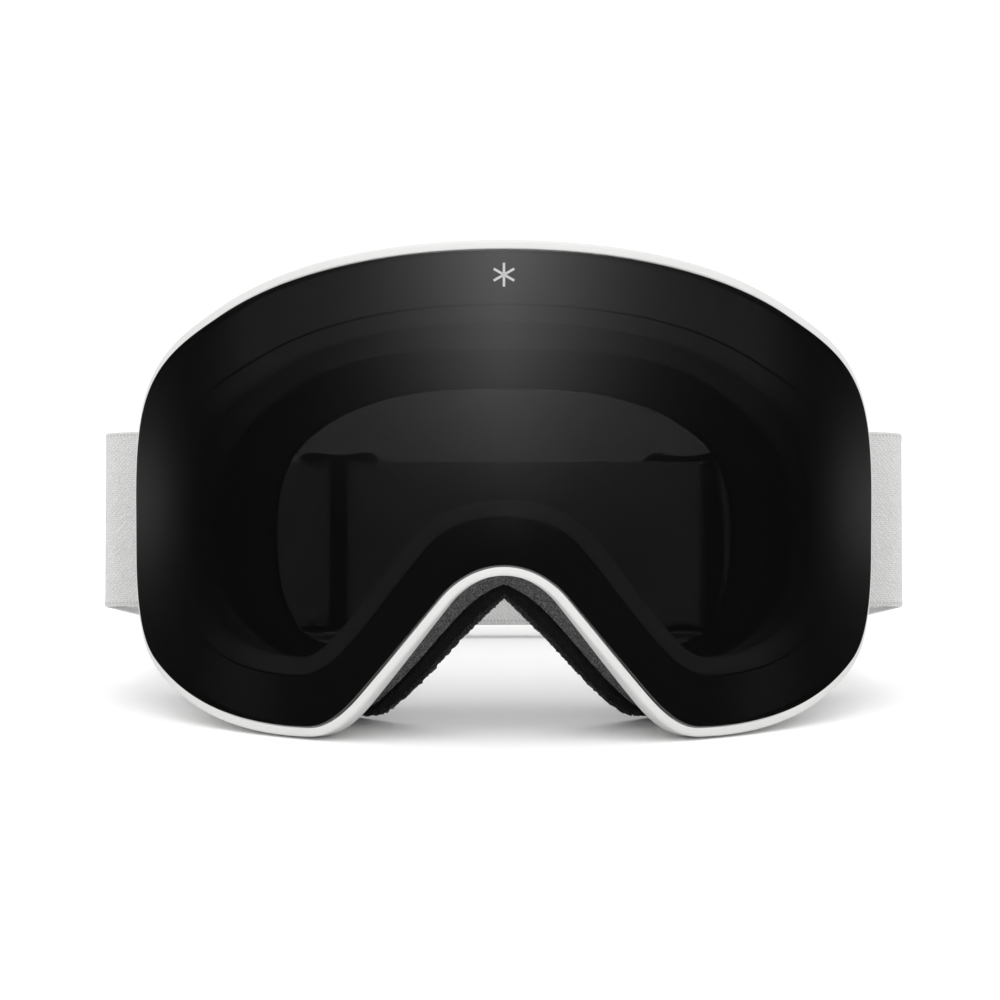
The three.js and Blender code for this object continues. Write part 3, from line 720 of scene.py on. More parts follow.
class GogglesFinishes(PropertyGroup):
    """Colours and finishes that a user would change."""

    frame_colour: FloatVectorProperty(
        name="Frame",
        description="Colour of the moulded frame",
        subtype="COLOR",
        size=3,
        default=(0.67, 0.67, 0.66),
    )
    webbing_colour: FloatVectorProperty(
        name="Webbing",
        description="Colour of the strap",
        subtype="COLOR",
        size=3,
        default=(0.665, 0.665, 0.66),
    )
    lens_opacity: FloatProperty(
        name="Lens opacity",
        description="Share of the light that each face of the lens stops",
        subtype="FACTOR",
        default=0.88,
        min=0,
        max=1,
    )
    foam_tone: FloatProperty(name="Foam tone", description="Grey of the foam's base layer", default=84)
    fleece_tone: FloatProperty(name="Fleece tone", description="Grey of the liner and soft foam", default=22)
    emblem_tone: FloatProperty(name="Emblem tone", description="Grey of the printed mark", default=190)


class GogglesDetails(PropertyGroup):
    """Sizes of the small details, in millimetres."""

    twill: FloatProperty(
        name="Twill",
        description="Distance between the diagonal ribs of the webbing",
        default=0.92,
    )
    stitch: FloatProperty(name="Stitch", description="Length of a sewn stitch", default=2.1)
    pile: FloatProperty(name="Pile", description="Roughness of the fleece's surface", default=0.22)
    rim_round: FloatProperty(
        name="Rim rounding", description="Radius of the rim's moulded edges", default=0.7
    )
    emblem: FloatProperty(name="Emblem", description="Height of the printed mark", default=5.4)
    density: IntProperty(
        name="Density", description="Points to each facet of the outlines", default=5, min=2
    )


class GogglesOperator:
    """What the operators share: their settings, and a stop when one of them makes nothing."""

    bl_options = {"REGISTER", "UNDO"}

    def execute(self, context):
        scene = context.scene
        made = self.build(scene.goggles_finishes, scene.goggles_details)
        if not made:
            raise RuntimeError(f"{self.bl_label} made nothing")
        return {"FINISHED"}


# ---------------------------------------------------------------- lenses


def lens_sheet(name, edge, inset, front, thickness, columns=260, rows=12):
    """A sheet on the cylinder: upright columns at u = U sin(angle), each from the outline's lower edge to its
    upper one on the front face and back down on the rear face."""
    rim = outline(edge, stations(12), -inset)
    tip = int(np.argmax(rim[:, 0]))
    nose = int(np.argmin(np.abs(rim[:, 0]) + 1e3 * (rim[:, 1] > 0)))
    upper, lower = rim[: tip + 1], rim[tip : nose + 1][::-1]
    u = rim[tip, 0] * np.sin(np.linspace(-math.pi / 2, math.pi / 2, columns))
    top = np.interp(np.abs(u), upper[:, 0], upper[:, 1])
    bottom = np.interp(np.abs(u), lower[:, 0], lower[:, 1])
    share = np.linspace(0, 1, rows)
    z = bottom[:, None] + (top - bottom)[:, None] * share
    flat = np.stack([np.broadcast_to(u[:, None], z.shape), z], -1)
    loop = np.concatenate([lens_point(flat, front), lens_point(flat[:, ::-1], front + thickness)], 1)
    return grid_object(name, loop, close_rows=False, sharp=40)


class GOGGLES_OT_lenses(GogglesOperator, Operator):
    """Make the dark outer lens, the clear inner one and the foam that holds them apart"""

    bl_idname = "goggles.lenses"
    bl_label = "Lenses"

    def build(self, finishes, details):
        outer = lens_sheet("lens_outer", "lens", 0.0, 0.0, LENS_THICKNESS)
        bevelled(outer, 0.35)
        dress(outer, lens_smoke(finishes), "lens")
        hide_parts("outer_lens")
        inner = lens_sheet("lens_inner", "sight", EDGE_CLEARANCE, INNER_LENS_FRONT, INNER_LENS_THICKNESS)
        dress(inner, lens_clear(), "lens")
        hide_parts("inner_lens")
        for glass in (outer, inner):
            glass.visible_shadow = False
            glass.visible_diffuse = False

        t = stations(4)[:, None]
        inset = -EDGE_CLEARANCE - SPACER_WIDTH * np.array([0, 0, 0.1, 0.9, 1, 1, 0.9, 0.1])
        front = LENS_THICKNESS + LENS_GAP
        depth = front + SPACER_THICKNESS * np.array([0.1, 0.9, 1, 1, 0.9, 0.1, 0, 0])
        ring = lens_point(outline("sight", t + 0 * inset, inset), depth)
        spacer = grid_object("lens_spacer_foam", ring)
        dress(spacer, plastic("spacer_foam", 180, 2600, 0.8), "lens")
        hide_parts("lens_spacer")
        carrier = copy_of("lens_carrier", "lens_carrier_ring")
        dress(carrier, carrier_plastic(), "lens")
        return [outer, inner, spacer, carrier]


EMBLEM_PLACE = 51.2  # height of its middle on the lens
EMBLEM_STROKE = 0.56
EMBLEM_STEPS = 13
INK_FACE = -0.03  # how far the ink's face and back lie behind the lens's face
INK_BACK = 0.02


class GOGGLES_OT_emblem(GogglesOperator, Operator):
    """Print a plain six-armed star at the top of the lens"""

    bl_idname = "goggles.emblem"
    bl_label = "Emblem"

    def build(self, finishes, details):
        reach, half = details.emblem / 2, EMBLEM_STROKE / 2
        spokes = []
        for turn in np.radians([30, 90, 150]):
            way = np.array([math.cos(turn), math.sin(turn)])
            side = np.array([-way[1], way[0]])
            along = np.linspace(-reach, reach, EMBLEM_STEPS)[:, None, None]
            across = np.array([-half, half, half, -half])[None, :, None]
            flat = along * way + across * side + np.array([0, EMBLEM_PLACE])
            depth = np.array([INK_FACE, INK_FACE, INK_BACK, INK_BACK])[None, :]
            spokes.append(lens_point(flat, depth))
        faces = []
        for k in range(len(spokes)):
            start = k * EMBLEM_STEPS * 4
            last = start + (EMBLEM_STEPS - 1) * 4
            faces += list(ring_quads(EMBLEM_STEPS, 4, False, True) + start)
            faces += [start + np.arange(4), last + np.arange(4)]
        star = mesh_object("lens_emblem", stood(np.concatenate(spokes)), faces, smooth=False)
        dress(star, print_ink(finishes), "lens")
        return [star]


# ---------------------------------------------------------------- frame

VENTS = ((0.06, 0.27), (0.34, 0.55), (0.62, 0.83), (4.3, 4.5), (4.58, 4.78))
VENT_ROWS = (0.3, 0.72)


def wall_inner(t, k):
    """The inner face of the frame's wall, at the share k of the way from the seat to the flange."""
    front = lens_point(outline("lens", t, RIM_WIDTH - WALL_THICKNESS - 1), SEAT_BACK)
    p = between(outline("flange_outer", t), outline("flange_inner", t), WALL_THICKNESS / 9)
    return between(front, face_point(p, -FLANGE_THICKNESS), k)


def wall_outer(t, k):
    """The outer face of the wall, from the rim to the flange."""
    front = lens_point(outline("lens", t, RIM_WIDTH), SEAT_BACK - 1)
    return between(front, face_point(outline("flange_outer", t), 0.0), k)


def frame_profile(t, rounding):
    """The frame's section at each station, as a closed loop: the rounded lip beside the lens, the seat, the
    wall's inner face, the flange and the wall's outer face."""
    n = t.shape[0]
    quarter = np.linspace(0, math.pi / 2, 7)
    lip = [
        lens_point(
            outline("lens", t, RIM_WIDTH - rounding + rounding * math.cos(a)),
            RIM_SETBACK + rounding - rounding * math.sin(a),
        )
        for a in quarter
    ]
    inner_round = rounding * 0.5
    lip += [
        lens_point(
            outline("lens", t, EDGE_CLEARANCE + inner_round - inner_round * math.sin(a)),
            RIM_SETBACK + inner_round - inner_round * math.cos(a),
        )
        for a in quarter
    ]
    seat = [
        lens_point(outline("lens", t, EDGE_CLEARANCE), SEAT_FRONT),
        lens_point(outline("sight", t, 0.5), SEAT_FRONT),
        lens_point(outline("sight", t, 0.5), SEAT_BACK),
    ]
    rows = np.unique(np.concatenate([np.linspace(0, 1, 13), VENT_ROWS]))
    inside = [wall_inner(t, np.full(n, k)) for k in rows]
    flange = [
        face_point(outline("flange_inner", t), -FLANGE_THICKNESS),
        face_point(outline("flange_inner", t), 0.0),
    ]
    outside = [wall_outer(t, np.full(n, k)) for k in rows[::-1]]
    first_inside = len(lip) + len(seat)
    first_outside = first_inside + len(rows) + len(flange)
    return np.stack(lip + seat + inside + flange + outside, 1), rows, first_inside, first_outside


def frame_shell(details):
    """The frame's ring with its vents cut out: the faces of both skins of the wall inside a vent are left
    out, and faces across the wall join the edges of the two holes."""
    limits = [limit for pair in VENTS for limit in pair]
    t = stations(details.density, limits)
    points, rows, inside, outside = frame_profile(t, details.rim_round)
    cols = points.shape[1]
    quads = ring_quads(len(t), cols, True, True)
    station, place = quads[:, 0] // cols, quads[:, 0] % cols
    low, high = (int(np.argmin(np.abs(rows - r))) for r in VENT_ROWS)
    last = len(rows) - 1
    keep = np.ones(len(quads), bool)
    bridges = []
    for start, end in VENTS:
        for a, b in ((start, end), (2 * SPANS - end, 2 * SPANS - start)):
            i0, i1 = (int(np.argmin(np.abs(t - v))) for v in (a, b))
            here = (station >= i0) & (station < i1)
            keep &= ~(here & (place >= inside + low) & (place < inside + high))
            keep &= ~(here & (place >= outside + last - high) & (place < outside + last - low))
            ring = [(i, low) for i in range(i0, i1)] + [(i1, r) for r in range(low, high)]
            ring += [(i, high) for i in range(i1, i0, -1)] + [(i0, r) for r in range(high, low, -1)]
            for (i, r), (j, s) in zip(ring, ring[1:] + ring[:1]):
                inner = [i * cols + inside + r, j * cols + inside + s]
                outer = [j * cols + outside + last - s, i * cols + outside + last - r]
                bridges.append(inner + outer)
    return mesh_object("frame_shell", stood(points), list(quads[keep]) + bridges, sharp=40)


def wall_middle(t, k):
    return wall_outer(np.atleast_1d(t), np.array([k]))[0]


ANCHOR_BAR = wall_middle(3.0, 1.0)[:2] + np.array([ANCHOR_REACH, ANCHOR_SETBACK])
ANCHOR_HEIGHT = STRAP_WIDTH / 2 + 2 * LENS_GAP + ANCHOR_ARM / 2


def rod(start, end, radii, sides=24):
    """A round rod from start to end, its radius along the way given by radii."""
    start, end = np.asarray(start, float), np.asarray(end, float)
    along = (end - start) / np.linalg.norm(end - start)
    side = np.cross(along, [0.3, 0.9, 0.1])
    side /= np.linalg.norm(side)
    up = np.cross(along, side)
    angle = np.linspace(0, 2 * math.pi, sides, endpoint=False)
    circle = np.cos(angle)[:, None] * side + np.sin(angle)[:, None] * up
    share = np.linspace(0, 1, len(radii))
    return start + share[:, None, None] * (end - start) + np.array(radii)[:, None, None] * circle


def strap_anchors():
    """The upright bars at the temples and the arms that carry them."""
    stations_here = np.linspace(1.5, 4.5, 101)
    roots = wall_outer(stations_here, np.full(101, ANCHOR_ROOT))
    made = []
    for name, sign in (("left", -1), ("right", 1)):
        mirror = np.array([sign, 1, 1])
        ends = [on_strap([*ANCHOR_BAR, k * ANCHOR_HEIGHT]) for k in (-1, 1)]
        bar = grid_object(
            f"anchor_bar_{name}", rod(ends[0] * mirror, ends[1] * mirror, [ANCHOR_BAR_RADIUS] * 12), False
        )
        made.append(bar)
        for word, end in zip(("lower", "upper"), ends):
            root = roots[int(np.argmin(np.abs(roots[:, 2] - end[2])))]
            run = np.array([end[0] - root[0], end[1] - root[1], 0])
            run /= np.linalg.norm(run)
            low, high = root - run * WALL_THICKNESS / 2, end + run * ANCHOR_BAR_RADIUS
            side = np.array([-run[1], run[0], 0])
            angle = np.linspace(0, 2 * math.pi, 32, endpoint=False)
            square = 3.5  # power of the superellipse that the arm's section is
            a = np.sign(np.cos(angle)) * np.abs(np.cos(angle)) ** (2 / square)
            b = np.sign(np.sin(angle)) * np.abs(np.sin(angle)) ** (2 / square)
            section = (a[:, None] * side + b[:, None] * np.array([0, 0, 1])) * ANCHOR_ARM / 2
            share = np.array([0, 0.3, 0.6, 0.85, 0.96, 1.0])
            size = np.array([1.25, 1.05, 1.0, 1.0, 0.85, 0.5])
            arm = low + share[:, None, None] * (high - low) + size[:, None, None] * section
            made.append(grid_object(f"anchor_arm_{name}_{word}", arm * mirror, False))
    return made


class GOGGLES_OT_frame(GogglesOperator, Operator):
    """Make the moulded frame with its vents and its strap anchors"""

    bl_idname = "goggles.frame"
    bl_label = "Frame"

    def build(self, finishes, details):
        white = frame_white(finishes)
        shell = bevelled(frame_shell(details), 0.35, 2, 40)
        dress(shell, white, "frame")
        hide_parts("frame")
        anchors = [dress(piece, white, "frame") for piece in strap_anchors()]
        return [shell, *anchors]


# ---------------------------------------------------------------- foam


def ripple(points, size, scale, seed):
    """A smooth, even unevenness: size times the mean of six sine waves in seeded directions, of wavelengths
    round scale millimetres."""
    rng = np.random.default_rng(seed)
    total = np.zeros(points.shape[:-1])
    for _ in range(6):
        way = rng.normal(size=3)
        way *= 2 * math.pi / (scale * rng.uniform(0.7, 1.4)) / np.linalg.norm(way)
        total += np.sin(points @ way + rng.uniform(0, 2 * math.pi))
    return size * total / 6


def foam_ring(name, front, thickness, square, pillow, nap, density, around=72, seed=1):
    """A layer of the face foam. Its section is a superellipse of power `square` between the inner and outer
    outlines, from front to front + thickness behind the flange; its sides swell by `pillow` and its surface
    stands up by a seeded nap."""
    t = stations(density)[:, None]
    angle = np.linspace(0, 2 * math.pi, around, endpoint=False)[None, :]
    c, s = np.cos(angle), np.sin(angle)
    across = np.sign(c) * np.abs(c) ** (2 / square)
    through = np.sign(s) * np.abs(s) ** (2 / square)
    back = front + thickness * (0.5 + 0.5 * through)
    lean = back / FOAM_DEPTH
    whole = t + 0 * angle
    outer = between(outline("flange_outer", whole), outline("foam_outer", whole), lean + 0 * whole)
    inner = outline("foam_inner", whole)
    width = np.linalg.norm(outer - inner, axis=-1)
    swell = pillow / width * (1 - through**2) * np.sign(across) * np.abs(across) ** 4
    p = between(inner, outer, 0.5 + 0.5 * across + swell)
    points = face_point(p, back)
    rng = np.random.default_rng(seed)
    rough = rng.normal(size=points.shape) * nap
    points = points + rough + ripple(points, 0.12, 14, seed)[..., None] * np.array([0, 1, 0])
    return grid_object(name, points)


PILE_COUNT = 9000
PILE_LENGTH = 0.75
INNER_SHARE = 0.62  # share of the fibres that stand on the opening's edge
PILE_REACH = 2.0  # how far forward of the fleece its fibres start
FIBRE_RADIUS = 0.055


def pile_fibres(name, count, length, seed):
    """Short fibres that stand on the edges of the fleece: three-sided spikes with a seeded lean."""
    rng = np.random.default_rng(seed)
    t = rng.uniform(0, 2 * SPANS, count)
    side = rng.random(count) < INNER_SHARE
    depth = BASE_FOAM + SOFT_FOAM + rng.uniform(-PILE_REACH, FLEECE, count)
    lean = depth / FOAM_DEPTH
    outer = between(outline("flange_outer", t), outline("foam_outer", t), lean)
    inner = outline("foam_inner", t)
    p = np.where(side[:, None], inner, outer)
    root = face_point(p, depth)
    away = p - between(inner, outer, np.full(count, 0.5))
    away /= np.linalg.norm(away, axis=1, keepdims=True)
    way = np.stack([away[:, 0], np.zeros(count), away[:, 1]], -1) + rng.normal(size=(count, 3)) * 0.45
    way /= np.linalg.norm(way, axis=1, keepdims=True)
    tip = root + way * length * rng.uniform(0.5, 1.2, count)[:, None]
    root = root - way * 0.25
    aside = np.cross(way, rng.normal(size=(count, 3)))
    aside *= FIBRE_RADIUS / np.linalg.norm(aside, axis=1, keepdims=True)
    other = np.cross(way, aside)
    corners = [root + aside, root - aside * 0.5 + other * 0.87, root - aside * 0.5 - other * 0.87, tip]
    points = np.stack(corners, 1)
    base = np.arange(count)[:, None] * 4
    faces = np.concatenate([base + np.array(f) for f in ((0, 1, 3), (1, 2, 3), (2, 0, 3), (0, 2, 1))])
    return mesh_object(name, stood(points), list(faces), smooth=False)


class GOGGLES_OT_foam(GogglesOperator, Operator):
    """Make the three layers of the face foam and the pile of the liner"""

    bl_idname = "goggles.foam"
    bl_label = "Face foam"

    def build(self, finishes, details):
        grey_foam = foam("foam_grey", finishes.foam_tone, 2300)
        black_foam = foam("foam_black", finishes.fleece_tone, 2300)
        liner = fleece(finishes)
        density = details.density + 1
        fleece_front = BASE_FOAM + SOFT_FOAM
        nap = details.pile * 0.8
        base = foam_ring("foam_base", 0.0, BASE_FOAM, 14, -0.15, 0.04, density, seed=2)
        dress(base, grey_foam, "frame")
        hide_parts("foam_base_layer")
        soft = foam_ring("foam_soft", BASE_FOAM, SOFT_FOAM, 9, 0.5, 0.11, density + 2, seed=3)
        dress(soft, black_foam, "frame")
        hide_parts("foam_soft_layer")
        skin = foam_ring("fleece_skin", fleece_front, FLEECE, 4, 0.55, nap, density + 3, 96, 4)
        dress(skin, liner, "frame")
        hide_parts("fleece_liner")
        pile = pile_fibres("fleece_pile", PILE_COUNT, PILE_LENGTH, 5)
        dress(pile, liner, "frame")
        return [base, soft, skin, pile]


FILTER_ROWS = (0.2, 0.82)
FILTER_NEAR = 0.5
FILTER_FAR = 2.8


def wall_patch(t0, t1, steps, seed):
    """A pad behind the frame's wall, between two distances inwards of its inner face. Its section is a
    superellipse, so its edges are rounded."""
    k0, k1 = FILTER_ROWS
    t = np.linspace(t0, t1, steps)
    angle = np.linspace(0, 2 * math.pi, 40, endpoint=False)
    a = np.sign(np.cos(angle)) * np.abs(np.cos(angle)) ** 0.22
    b = np.sign(np.sin(angle)) * np.abs(np.sin(angle)) ** 0.22
    front, back = wall_inner(t, np.zeros(steps)), wall_inner(t, np.ones(steps))
    ahead = wall_inner(t + 0.01, np.zeros(steps))
    inward = np.cross(back - front, ahead - front)
    inward /= np.linalg.norm(inward, axis=1, keepdims=True)
    k = k0 + (k1 - k0) * (0.5 + 0.5 * a)
    reach = FILTER_NEAR + (FILTER_FAR - FILTER_NEAR) * (0.5 + 0.5 * b)
    points = front[:, None] + (back - front)[:, None] * k[None, :, None]
    points = points + inward[:, None] * reach[None, :, None]
    return points + np.random.default_rng(seed).normal(size=points.shape) * 0.03


class GOGGLES_OT_filters(GogglesOperator, Operator):
    """Make the filter foam behind the vents"""

    bl_idname = "goggles.filters"
    bl_label = "Vent filters"

    def build(self, finishes, details):
        coarse = foam("filter_foam", finishes.fleece_tone * 0.9, 1000)
        top = grid_object("filter_top", wall_patch(-0.88, 0.88, 160, 7), False)
        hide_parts("vent_filter_top")
        made = [top]
        cheek = wall_patch(4.24, 4.84, 50, 8)
        for name, sign in (("left", -1), ("right", 1)):
            pad = grid_object(f"filter_cheek_{name}", cheek * np.array([sign, 1, 1]), False)
            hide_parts(f"vent_filter_cheek_{name}")
            made.append(pad)
        for pad in made:
            dress(pad, coarse, "frame")
        return made


# ---------------------------------------------------------------- strap


def arc(centre, radius, start, end, steps):
    angle = np.linspace(start, end, steps)
    return np.asarray(centre) + radius * np.stack([np.cos(angle), np.sin(angle)], -1)


def joined(*pieces, step=0.6):
    """A path through points and arcs, cut again into steps of about the same length."""
    path = np.concatenate([np.atleast_2d(p) for p in pieces])
    length = np.concatenate([[0], np.cumsum(np.linalg.norm(np.diff(path, axis=0), axis=1))])
    at = np.linspace(0, length[-1], int(length[-1] / step) + 2)
    return np.stack([np.interp(at, length, path[:, k]) for k in (0, 1)], -1)


def webbing_paths(rear):
    """The right webbing's plan: its tail, the turn round the anchor bar, the bend at the temple and the side
    run up to its split, and then the rest of the side run and the corner."""
    away = np.array([math.sin(STRAP_SPLAY), math.cos(STRAP_SPLAY)])
    outward = np.array([math.cos(STRAP_SPLAY), -math.sin(STRAP_SPLAY)])
    toe = np.array([math.cos(STRAP_TOE_IN), math.sin(STRAP_TOE_IN)])
    wrap = ANCHOR_BAR_RADIUS + LENS_GAP + HALF
    bend = STRAP_TEMPLE_BEND
    lead = (STRAP_BULGE - HALF - bend - outward[0] * (wrap - bend)) / away[0]
    temple_painted_shade = ANCHOR_BAR + outward * (wrap - bend) + away * lead
    start = temple_painted_shade + toe * bend
    length = (rear - STRAP_REAR_BEND * (1 - toe[1]) - start[1]) / toe[0]
    run = np.array([-toe[1], toe[0]])
    split = start + run * length * SIDE_SPLIT
    corner = start + run * length - toe * STRAP_REAR_BEND
    side = joined(
        ANCHOR_BAR - outward * wrap + away * STRAP_TAIL,
        arc(ANCHOR_BAR, wrap, math.pi - STRAP_SPLAY, 2 * math.pi - STRAP_SPLAY, 24),
        arc(temple_painted_shade, bend, -STRAP_SPLAY, STRAP_TOE_IN, 20),
        split,
    )
    return side, split, arc(corner, STRAP_REAR_BEND, STRAP_TOE_IN, math.pi / 2, 24)


SELVEDGE = 0.45  # radius of the webbing's rounded edges
WEBBING_FACE = 0.86  # share of the webbing's half thickness that its face has between the hems


def ribbon(name, path, start=0.0):
    """Webbing on edge along a plan path: its section is a thin bar with rounded selvedges, a little thicker
    at the hems. The map holds millimetres along the path and across the width."""
    along = np.gradient(path, axis=0)
    along /= np.linalg.norm(along, axis=1, keepdims=True)
    side = np.stack([-along[:, 1], along[:, 0]], -1)
    half = STRAP_WIDTH / 2
    z = half * np.sin(np.linspace(-math.pi / 2, math.pi / 2, 61))
    close = np.clip((half - np.abs(z)) / SELVEDGE, 0, 1)
    swell = 1 + 0.14 * np.exp(-(((np.abs(z) - (half - 1.1)) / 0.8) ** 2))
    thick = HALF * WEBBING_FACE * swell * np.sqrt(1 - (1 - close) ** 2)
    z = np.concatenate([z, z[-2:0:-1]])
    thick = np.concatenate([thick, -thick[-2:0:-1]])
    flat = path[:, None] + side[:, None] * thick[None, :, None]
    points = np.concatenate([flat, np.broadcast_to(z[None, :, None], flat.shape[:2] + (1,))], -1)
    length = start + np.concatenate([[0], np.cumsum(np.linalg.norm(np.diff(path, axis=0), axis=1))])
    uv = np.stack(np.broadcast_arrays(length[:, None], z[None, :]), -1)
    piece = grid_object(name, on_strap(points), False, True, uv, sharp=70)
    return piece, length[-1]


THREAD_RADIUS = 0.24


def stitches(name, places):
    """Sewn stitches: thin spindles laid flat on the webbing, each between two needle holes."""
    rows, sides = 7, 8
    share = np.linspace(0, 1, rows)
    girth = THREAD_RADIUS * np.sqrt(np.clip(1 - (2 * share - 1) ** 2, 0.02, 1))
    points, faces = [], []
    for k, (a, b) in enumerate(places):
        points.append(on_strap(rod(a, b, girth, sides)))
        start = k * rows * sides
        faces += list(ring_quads(rows, sides, False, True) + start)
        faces += [start + np.arange(sides), start + (rows - 1) * sides + np.arange(sides)]
    return mesh_object(name, stood(np.concatenate(points)), faces)


def row_point(x, y):
    """A point of the strap's middle line, in the row frame."""
    return tuple(stood(on_strap([x, y, 0.0])))


SIDE_FOLLOWS = 16.0  # how far behind its bar lies a point worked out on the side run's middle line
REAR_FOLLOWS = 58.0  # place across of a point worked out on the rear run's middle line
HEM_SHORT = 0.6
STITCH_PITCH = 1.12  # in stitches
SEAM_MARGIN = 2.0
SEAM_ROWS = (2.0, 3.2)  # from the cut end


class GOGGLES_OT_strap(GogglesOperator, Operator):
    """Make the two webbings, each in a side and a rear piece, and sew their ends"""

    bl_idname = "goggles.strap"
    bl_label = "Strap"

    def build(self, finishes, details):
        cloth = webbing(finishes, details)
        cotton = thread()
        made = []
        for name, sign, rear, slider, slider_x in (
            ("left", -1, STRAP_REAR, "slider_right", RIGHT_SLIDER_X),
            ("right", 1, OUTER_REAR, "slider_left", LEFT_SLIDER_X),
        ):
            flip = np.array([sign, 1])
            side, split, corner = webbing_paths(rear)
            piece, length = ribbon(f"webbing_{name}_side", side * flip)
            start = row_point(sign * ANCHOR_BAR[0], ANCHOR_BAR[1] + SIDE_FOLLOWS)
            end = row_point(sign * ANCHOR_BAR[0], split[1] - 0.5)
            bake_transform(piece)
            dress(piece, cloth)
            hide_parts(f"strap_{name}_side")
            made.append(piece)

            # The sewn end lies on its slider's bar: on the outside of the left webbing, inside on the right.
            turn = -sign
            fold = np.array([slider_x + turn * SLIDER_BRIDGE_HALF, rear + turn * HEM_STEP / 2])
            bend = arc((0, 0), HEM_STEP / 2, -math.pi / 2, math.pi / 2, 16) * turn + fold
            end = np.array([slider_x - turn * (HEM - HEM_SHORT), rear + turn * HEM_STEP])
            hem_start = slider_x - turn * HEM
            path = joined(split * flip, corner * flip, (hem_start, rear), bend, end)
            piece, _ = ribbon(f"webbing_{name}_rear", path, length)
            row_point(sign * REAR_FOLLOWS, rear)
            row_point(hem_start - turn, rear)
            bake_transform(piece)
            dress(piece, cloth)
            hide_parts(f"strap_{name}_rear", f"strap_{name}_end")
            made.append(piece)

            face = rear + turn * (HEM_STEP + HALF * WEBBING_FACE)
            pitch = details.stitch * STITCH_PITCH
            count = int((STRAP_WIDTH - 2 * SEAM_MARGIN) / pitch)
            low = -pitch * count / 2
            rows = [slider_x - turn * (HEM - back) for back in SEAM_ROWS]
            places = [
                ((x, face, low + pitch * k), (x, face, low + pitch * k + details.stitch))
                for x in rows
                for k in range(count)
            ]
            seam = stitches(f"stitching_{name}", places)
            made.append(dress(seam, cotton, slider))
        return made


class GOGGLES_OT_hardware(GogglesOperator, Operator):
    """Round the edges of the sliders and finish the magnets"""

    bl_idname = "goggles.hardware"
    bl_label = "Sliders and magnets"

    def build(self, finishes, details):
        black = plastic("slider_black", 34, 2200)
        made = []
        for side in ("left", "right"):
            piece = bevelled(copy_of(f"slider_{side}", f"strap_slider_{side}"), 0.3, 3, 30)
            made.append(dress(piece, black, f"slider_{side}"))
        magnets = [name for name in frame["nodes"] if "_magnet_" in name]
        dress_nodes(magnets, steel())
        return made


# ---------------------------------------------------------------- stage

# The overhead light, in metres from the middle of the lens, and in watts
LIGHT_PLACE = (0, -0.22, 0.6)
LIGHT_AIM = (0, 0.03, 0)
LIGHT_SIZE = (0.7, 0.35)
LIGHT_POWER = 0.72
FLOOR_HALF = 12.0  # metres
CAMERA_DISTANCE = 1220.0  # from the face of the lens
CAMERA_ASIDE = -0.9
FOCAL_LENGTH = 193.32  # on a sensor 36 mm wide


def area_light(name, place, target, size, power):
    light = bpy.data.lights.new(name, "AREA")
    light.shape = "RECTANGLE"
    light.size, light.size_y = size
    light.energy = power
    obj = bpy.data.objects.new(name, light)
    way = Vector(target) - Vector(place)
    obj.matrix_world = Matrix.Translation(place) @ way.to_track_quat("-Z", "Y").to_matrix().to_4x4()
    bpy.context.scene.collection.objects.link(obj)
    return obj


def studio_light(scene):
    """A white room, which glossy surfaces see as a dark one with soft lights in it. Each light is a lobe in
    the lens's own directions: azimuth from straight ahead of it, and rise along its height."""
    world = bpy.data.worlds.new("studio")
    scene.world = world
    world.use_nodes = True
    tree = world.node_tree
    sky = Wire(tree, None)
    way = sky.add("ShaderNodeTexCoord", {}, {}, "Generated")
    ahead = way.along((0, -math.cos(LEAN), math.sin(LEAN)))
    rise = way.along((0, math.sin(LEAN), math.cos(LEAN)))
    azimuth = sky.maths("ARCTAN2", way.axis("X"), ahead).size()
    brow = 1.95 * rise.step(-0.010, 0.060) * (-1.0 * (azimuth * (1 / 0.435)) ** 1.5).exp()
    overhead = 1.1 * rise.step(0.12, 0.55)
    side = 0.22 * azimuth.step(1.62, 2.08) * (-1.0 * (rise * (1 / 0.0135)) ** 2.0).exp()
    below = 0.4 * (-1.0 * rise).step(0.08, 0.4)
    glossy = sky.add("ShaderNodeLightPath", {}, {}, "Is Glossy Ray")
    strength = 1.18 * (1 - glossy) + glossy * (0.03 + brow + side + overhead + below)
    tree.nodes["Background"].inputs["Color"].default_value = (1, 1, 1, 1)
    tree.links.new(strength.socket, tree.nodes["Background"].inputs["Strength"])


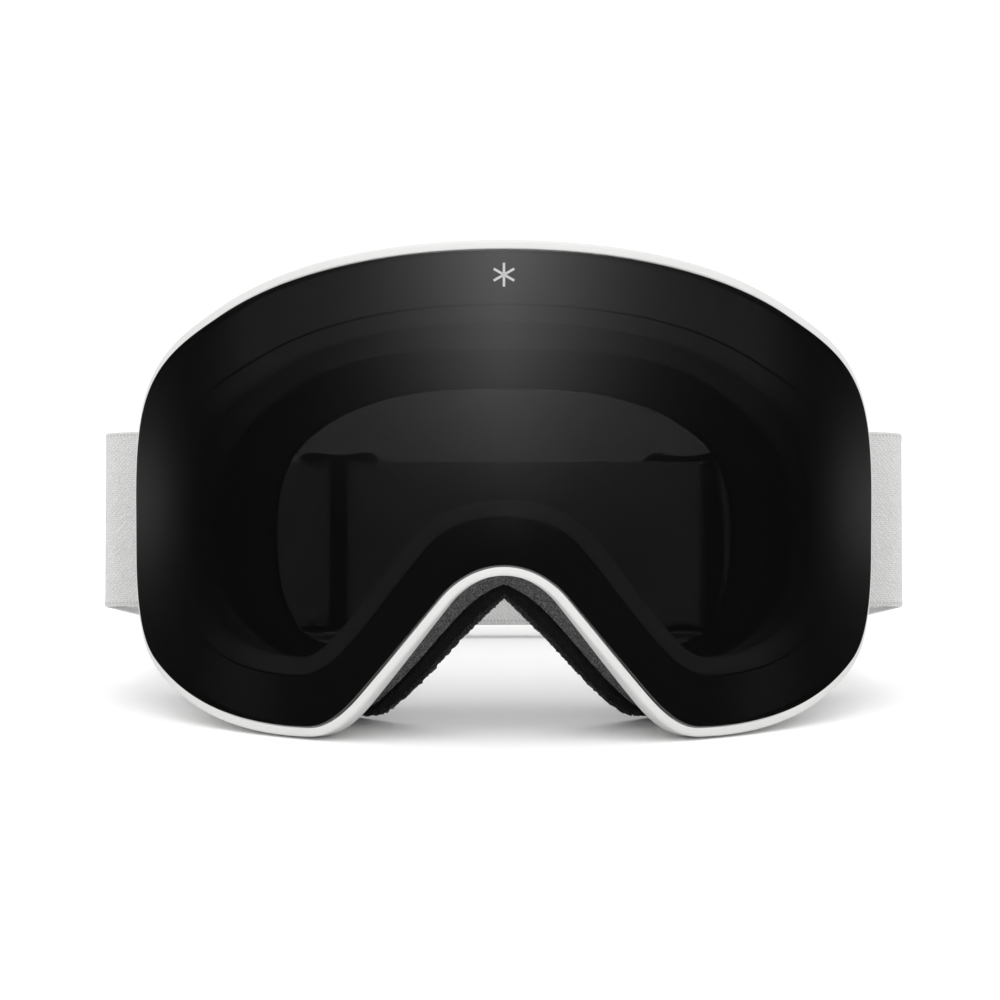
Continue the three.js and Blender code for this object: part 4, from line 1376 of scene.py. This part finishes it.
class GOGGLES_OT_stage(GogglesOperator, Operator):
    """Set up the pale floor, the soft light and the camera"""

    bl_idname = "goggles.stage"
    bl_label = "Stage"

    def build(self, finishes, details):
        scene = bpy.context.scene
        scene.view_settings.view_transform = "Standard"
        scene.render.film_transparent = False

        corners = np.array([[-1, -1, 0], [1, -1, 0], [1, 1, 0], [-1, 1, 0]]) * FLOOR_HALF
        floor = mesh_object("floor", corners, [(0, 1, 2, 3)])
        paint = Finish("floor_paint", Roughness=0.9, Specular_IOR_Level=0.0, Base_Color=(1, 1, 1, 1))
        floor.data.materials.append(paint.material)
        floor.visible_glossy = False

        studio_light(scene)

        lens_middle = Vector(stood([0.0, 0.0, 0.0]))
        view = Vector((0, math.cos(LEAN), -math.sin(LEAN)))
        up = Vector((0, math.sin(LEAN), math.cos(LEAN)))
        place = Vector(stood([CAMERA_ASIDE, -CAMERA_DISTANCE, 0.0]))
        data = bpy.data.cameras.new("camera")
        data.lens = FOCAL_LENGTH
        data.sensor_width = 36
        data.clip_start, data.clip_end = 0.05, 60
        camera = bpy.data.objects.new("camera", data)
        scene.collection.objects.link(camera)
        right = view.cross(up)
        camera.matrix_world = Matrix.Translation(place) @ Matrix((right, up, -view)).transposed().to_4x4()
        scene.camera = camera

        above = lens_middle + Vector(LIGHT_PLACE)
        area_light("overhead", above, lens_middle + Vector(LIGHT_AIM), LIGHT_SIZE, LIGHT_POWER)
        return [floor, camera]


# ---------------------------------------------------------------- panel and registration

OPERATORS = (
    GOGGLES_OT_stage,
    GOGGLES_OT_lenses,
    GOGGLES_OT_emblem,
    GOGGLES_OT_frame,
    GOGGLES_OT_foam,
    GOGGLES_OT_filters,
    GOGGLES_OT_strap,
    GOGGLES_OT_hardware,
)


class GOGGLES_PT_panel(Panel):
    """Lists the pieces of the goggles and their settings"""

    bl_label = "Ski Goggles"
    bl_idname = "GOGGLES_PT_panel"
    bl_space_type = "VIEW_3D"
    bl_region_type = "UI"
    bl_category = "Goggles"

    def draw(self, context):
        for group in (context.scene.goggles_finishes, context.scene.goggles_details):
            for name in group.__annotations__:
                self.layout.prop(group, name)
        for operator in OPERATORS:
            self.layout.operator(operator.bl_idname)


CLASSES = (GogglesFinishes, GogglesDetails, *OPERATORS, GOGGLES_PT_panel)


def register():
    for item in CLASSES:
        bpy.utils.register_class(item)
    bpy.types.Scene.goggles_finishes = PointerProperty(type=GogglesFinishes)
    bpy.types.Scene.goggles_details = PointerProperty(type=GogglesDetails)


def unregister():
    del bpy.types.Scene.goggles_details
    del bpy.types.Scene.goggles_finishes
    for item in reversed(CLASSES):
        bpy.utils.unregister_class(item)


def main():
    register()
    for operator in OPERATORS:
        group, name = operator.bl_idname.split(".")
        getattr(getattr(bpy.ops, group), name)()


if __name__ == "__main__":
    main()
